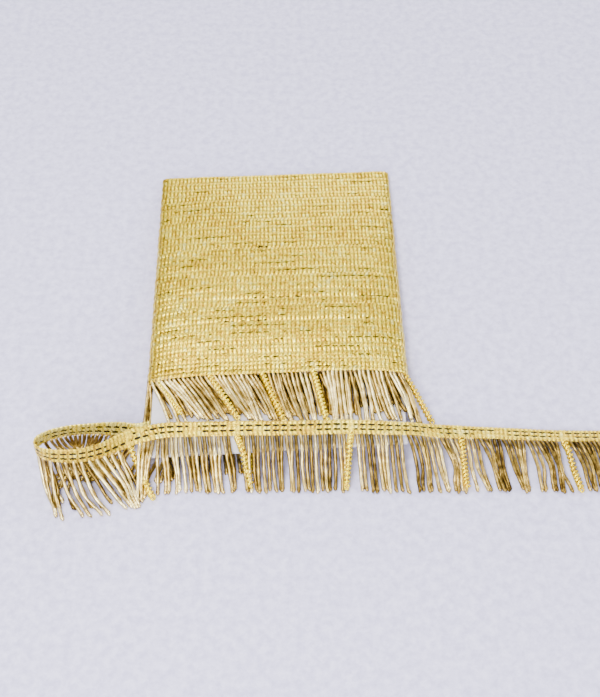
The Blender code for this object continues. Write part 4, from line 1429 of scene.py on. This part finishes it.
hank_rng = np.random.default_rng(41)
top_paths, top_tones, rim_crimped = [], [], []
for layer, (inset, shorter, count) in enumerate(RIM_LAYERS):
    crimped_at = [across * MM for across, at_layer in RIM_CRIMPED if at_layer == layer]
    acrosses, heights = rim_places(*RIM_ENDS, count, inset * MM)
    sweeps, bows = combed_groups(acrosses, hank_rng, *RIM_GROUPING)
    for across, height, sweep_more, bow_size in zip(acrosses, heights, sweeps, bows):
        across += hank_rng.uniform(-RIM_JITTER, RIM_JITTER) * MM
        length = STRAND_LENGTH - shorter * MM + hank_rng.uniform(*RIM_LENGTH_SPREAD) * MM
        if any(abs(across - place) < CRIMPED_ROOM for place in crimped_at):
            continue
        top_paths.append(rim_path(across, height, STRAND_RADIUS, length, hank_rng, sweep_more, bow_size))
        top_tones.append(hank_rng.uniform(*RIM_TONES_AND_SHADE[min(layer, 2)]))
    for across in crimped_at:
        height = float(np.interp(across, acrosses, heights))
        rim_crimped.append(rim_path(across, height, CRIMPED_HALF, STRAND_LENGTH - shorter * MM, hank_rng))
for height, sweep_more in NOSE_STRANDS:
    top_paths.append(rim_path(NOSE_ACROSS, height * MM, STRAND_RADIUS, STRAND_LENGTH, hank_rng, sweep_more))
    top_tones.append(hank_rng.uniform(*RIM_TONES_AND_SHADE[1]))
rim_top = bend_copies("strands_rim_top", strand_master, top_paths, top_tones, hank_rng)
finish_piece(rim_top, champagne, ["hank_fringe_top"])
crimped_rim = bend_copies("crimped_at_rim", crimped_master, rim_crimped,
                          hank_rng.uniform(0.2, 1.0, len(rim_crimped)), hank_rng)
finish_piece(crimped_rim, crimped_gold, ["hank_fringe_top"])

# %% Strands under the card
UNDER_CARD_ENDS = (math.pi + 0.5, 2 * math.pi - 0.5)
UNDER_CARD_COUNT, UNDER_CARD_INSET = 38, 1.4 * MM
UNDER_CARD_SHARES, UNDER_CARD_JITTER = (0.35, 0.7, 0.97), 0.8
UNDER_CARD_HELD = 2.0 * MM
OVER_RUN = 6.2 * MM                # where the tucked run lies under them, they rest on it
OVER_RUN_END = (RUN_ROUTE[0][0] + 6.0) * MM

under_paths = []
outward = Vector(hank_place(0.0, -1.0, 0.0) - hank_place(0.0, 0.0, 0.0)).normalized()
for across, height in zip(*rim_places(*UNDER_CARD_ENDS, UNDER_CARD_COUNT, UNDER_CARD_INSET)):
    root = Vector(hank_place(across, RIM_ROOT, height))
    points = [Vector(hank_place(across, UNDER_CARD_HELD, height)), root]
    for share in UNDER_CARD_SHARES:
        point = root + outward * STRAND_LENGTH * share
        point.x += hank_rng.uniform(-UNDER_CARD_JITTER, UNDER_CARD_JITTER) * MM
        point.z = OVER_RUN if root.x < OVER_RUN_END else STRAND_RADIUS
        points.append(point)
    under_paths.append(points)
# their low tones are painted shade under the card
rim_under = bend_copies("strands_rim_under", strand_master, under_paths,
                        hank_rng.uniform(0.0, 0.4, len(under_paths)), hank_rng)
finish_piece(rim_under, champagne, ["hank_fringe_under"])
print("strands at the rim: %d on the card, %d under it, %d crimped" % (
    len(top_paths), len(under_paths), len(rim_crimped)))

# %% [markdown]
# ## The core card
#
# The card is a plain piece of pale board, cut by hand. A block of its size is shaped to the
# CAD card's own corners, its edges are bevelled where cutting and handling have softened them,
# and the surface gets the fibres and faint stains of recycled board.

# %% The core card
BOARD_TONES = ((0.40, (0.44, 0.41, 0.42)), (0.62, (0.56, 0.53, 0.57)), (0.95, (0.66, 0.64, 0.70)))


def card_corner(co):
    """The hank's place of a corner of the block, from the signs of its coordinates."""
    side, end, level = (math.copysign(1.0, value) for value in co)
    along = CARD_BACK if end > 0 else CARD_FRONT + side * CARD_SKEW
    height = card_underside(along) + (CARD_THICKNESS if level > 0 else 0.0)
    return hank_place(side * CARD_HALF_WIDTH, along, height) - BOX_CENTRE


card = begin_block("card_board", (2 * CARD_HALF_WIDTH, CARD_BACK - CARD_FRONT, CARD_THICKNESS))
set_vertices(card, np.array([card_corner(vertex.co) for vertex in card.data.vertices]))
apply_modifier(card, "worn_edges", "BEVEL", width=0.35 * MM, segments=2)

board, tree, shader = new_material("pale_board", 0.82)
fibres = noise(tree, object_coords(tree), 340.0, 5.0, 0.7)
stains = noise(tree, object_coords(tree), 22.0, 2.0)
stained = math_node(tree, "MULTIPLY_ADD", fibres, 0.4, stains)
feed(tree, shader.inputs["Base Color"], colour_ramp(tree, stained, BOARD_TONES))
bump(tree, shader, fibres, 0.08 * MM, 0.5)
finish_piece(card, board, ["core_card"], smooth=False)

# %% [markdown]
# ## Removing the patterns
#
# The run's heading is a strip of cloth, 10 mm wide and as long as the route. The masters were
# only patterns and are removed.

for master in (repeat, turn_repeat, strand_master, crimped_master):
    bpy.data.objects.remove(master, do_unlink=True)
select_only()
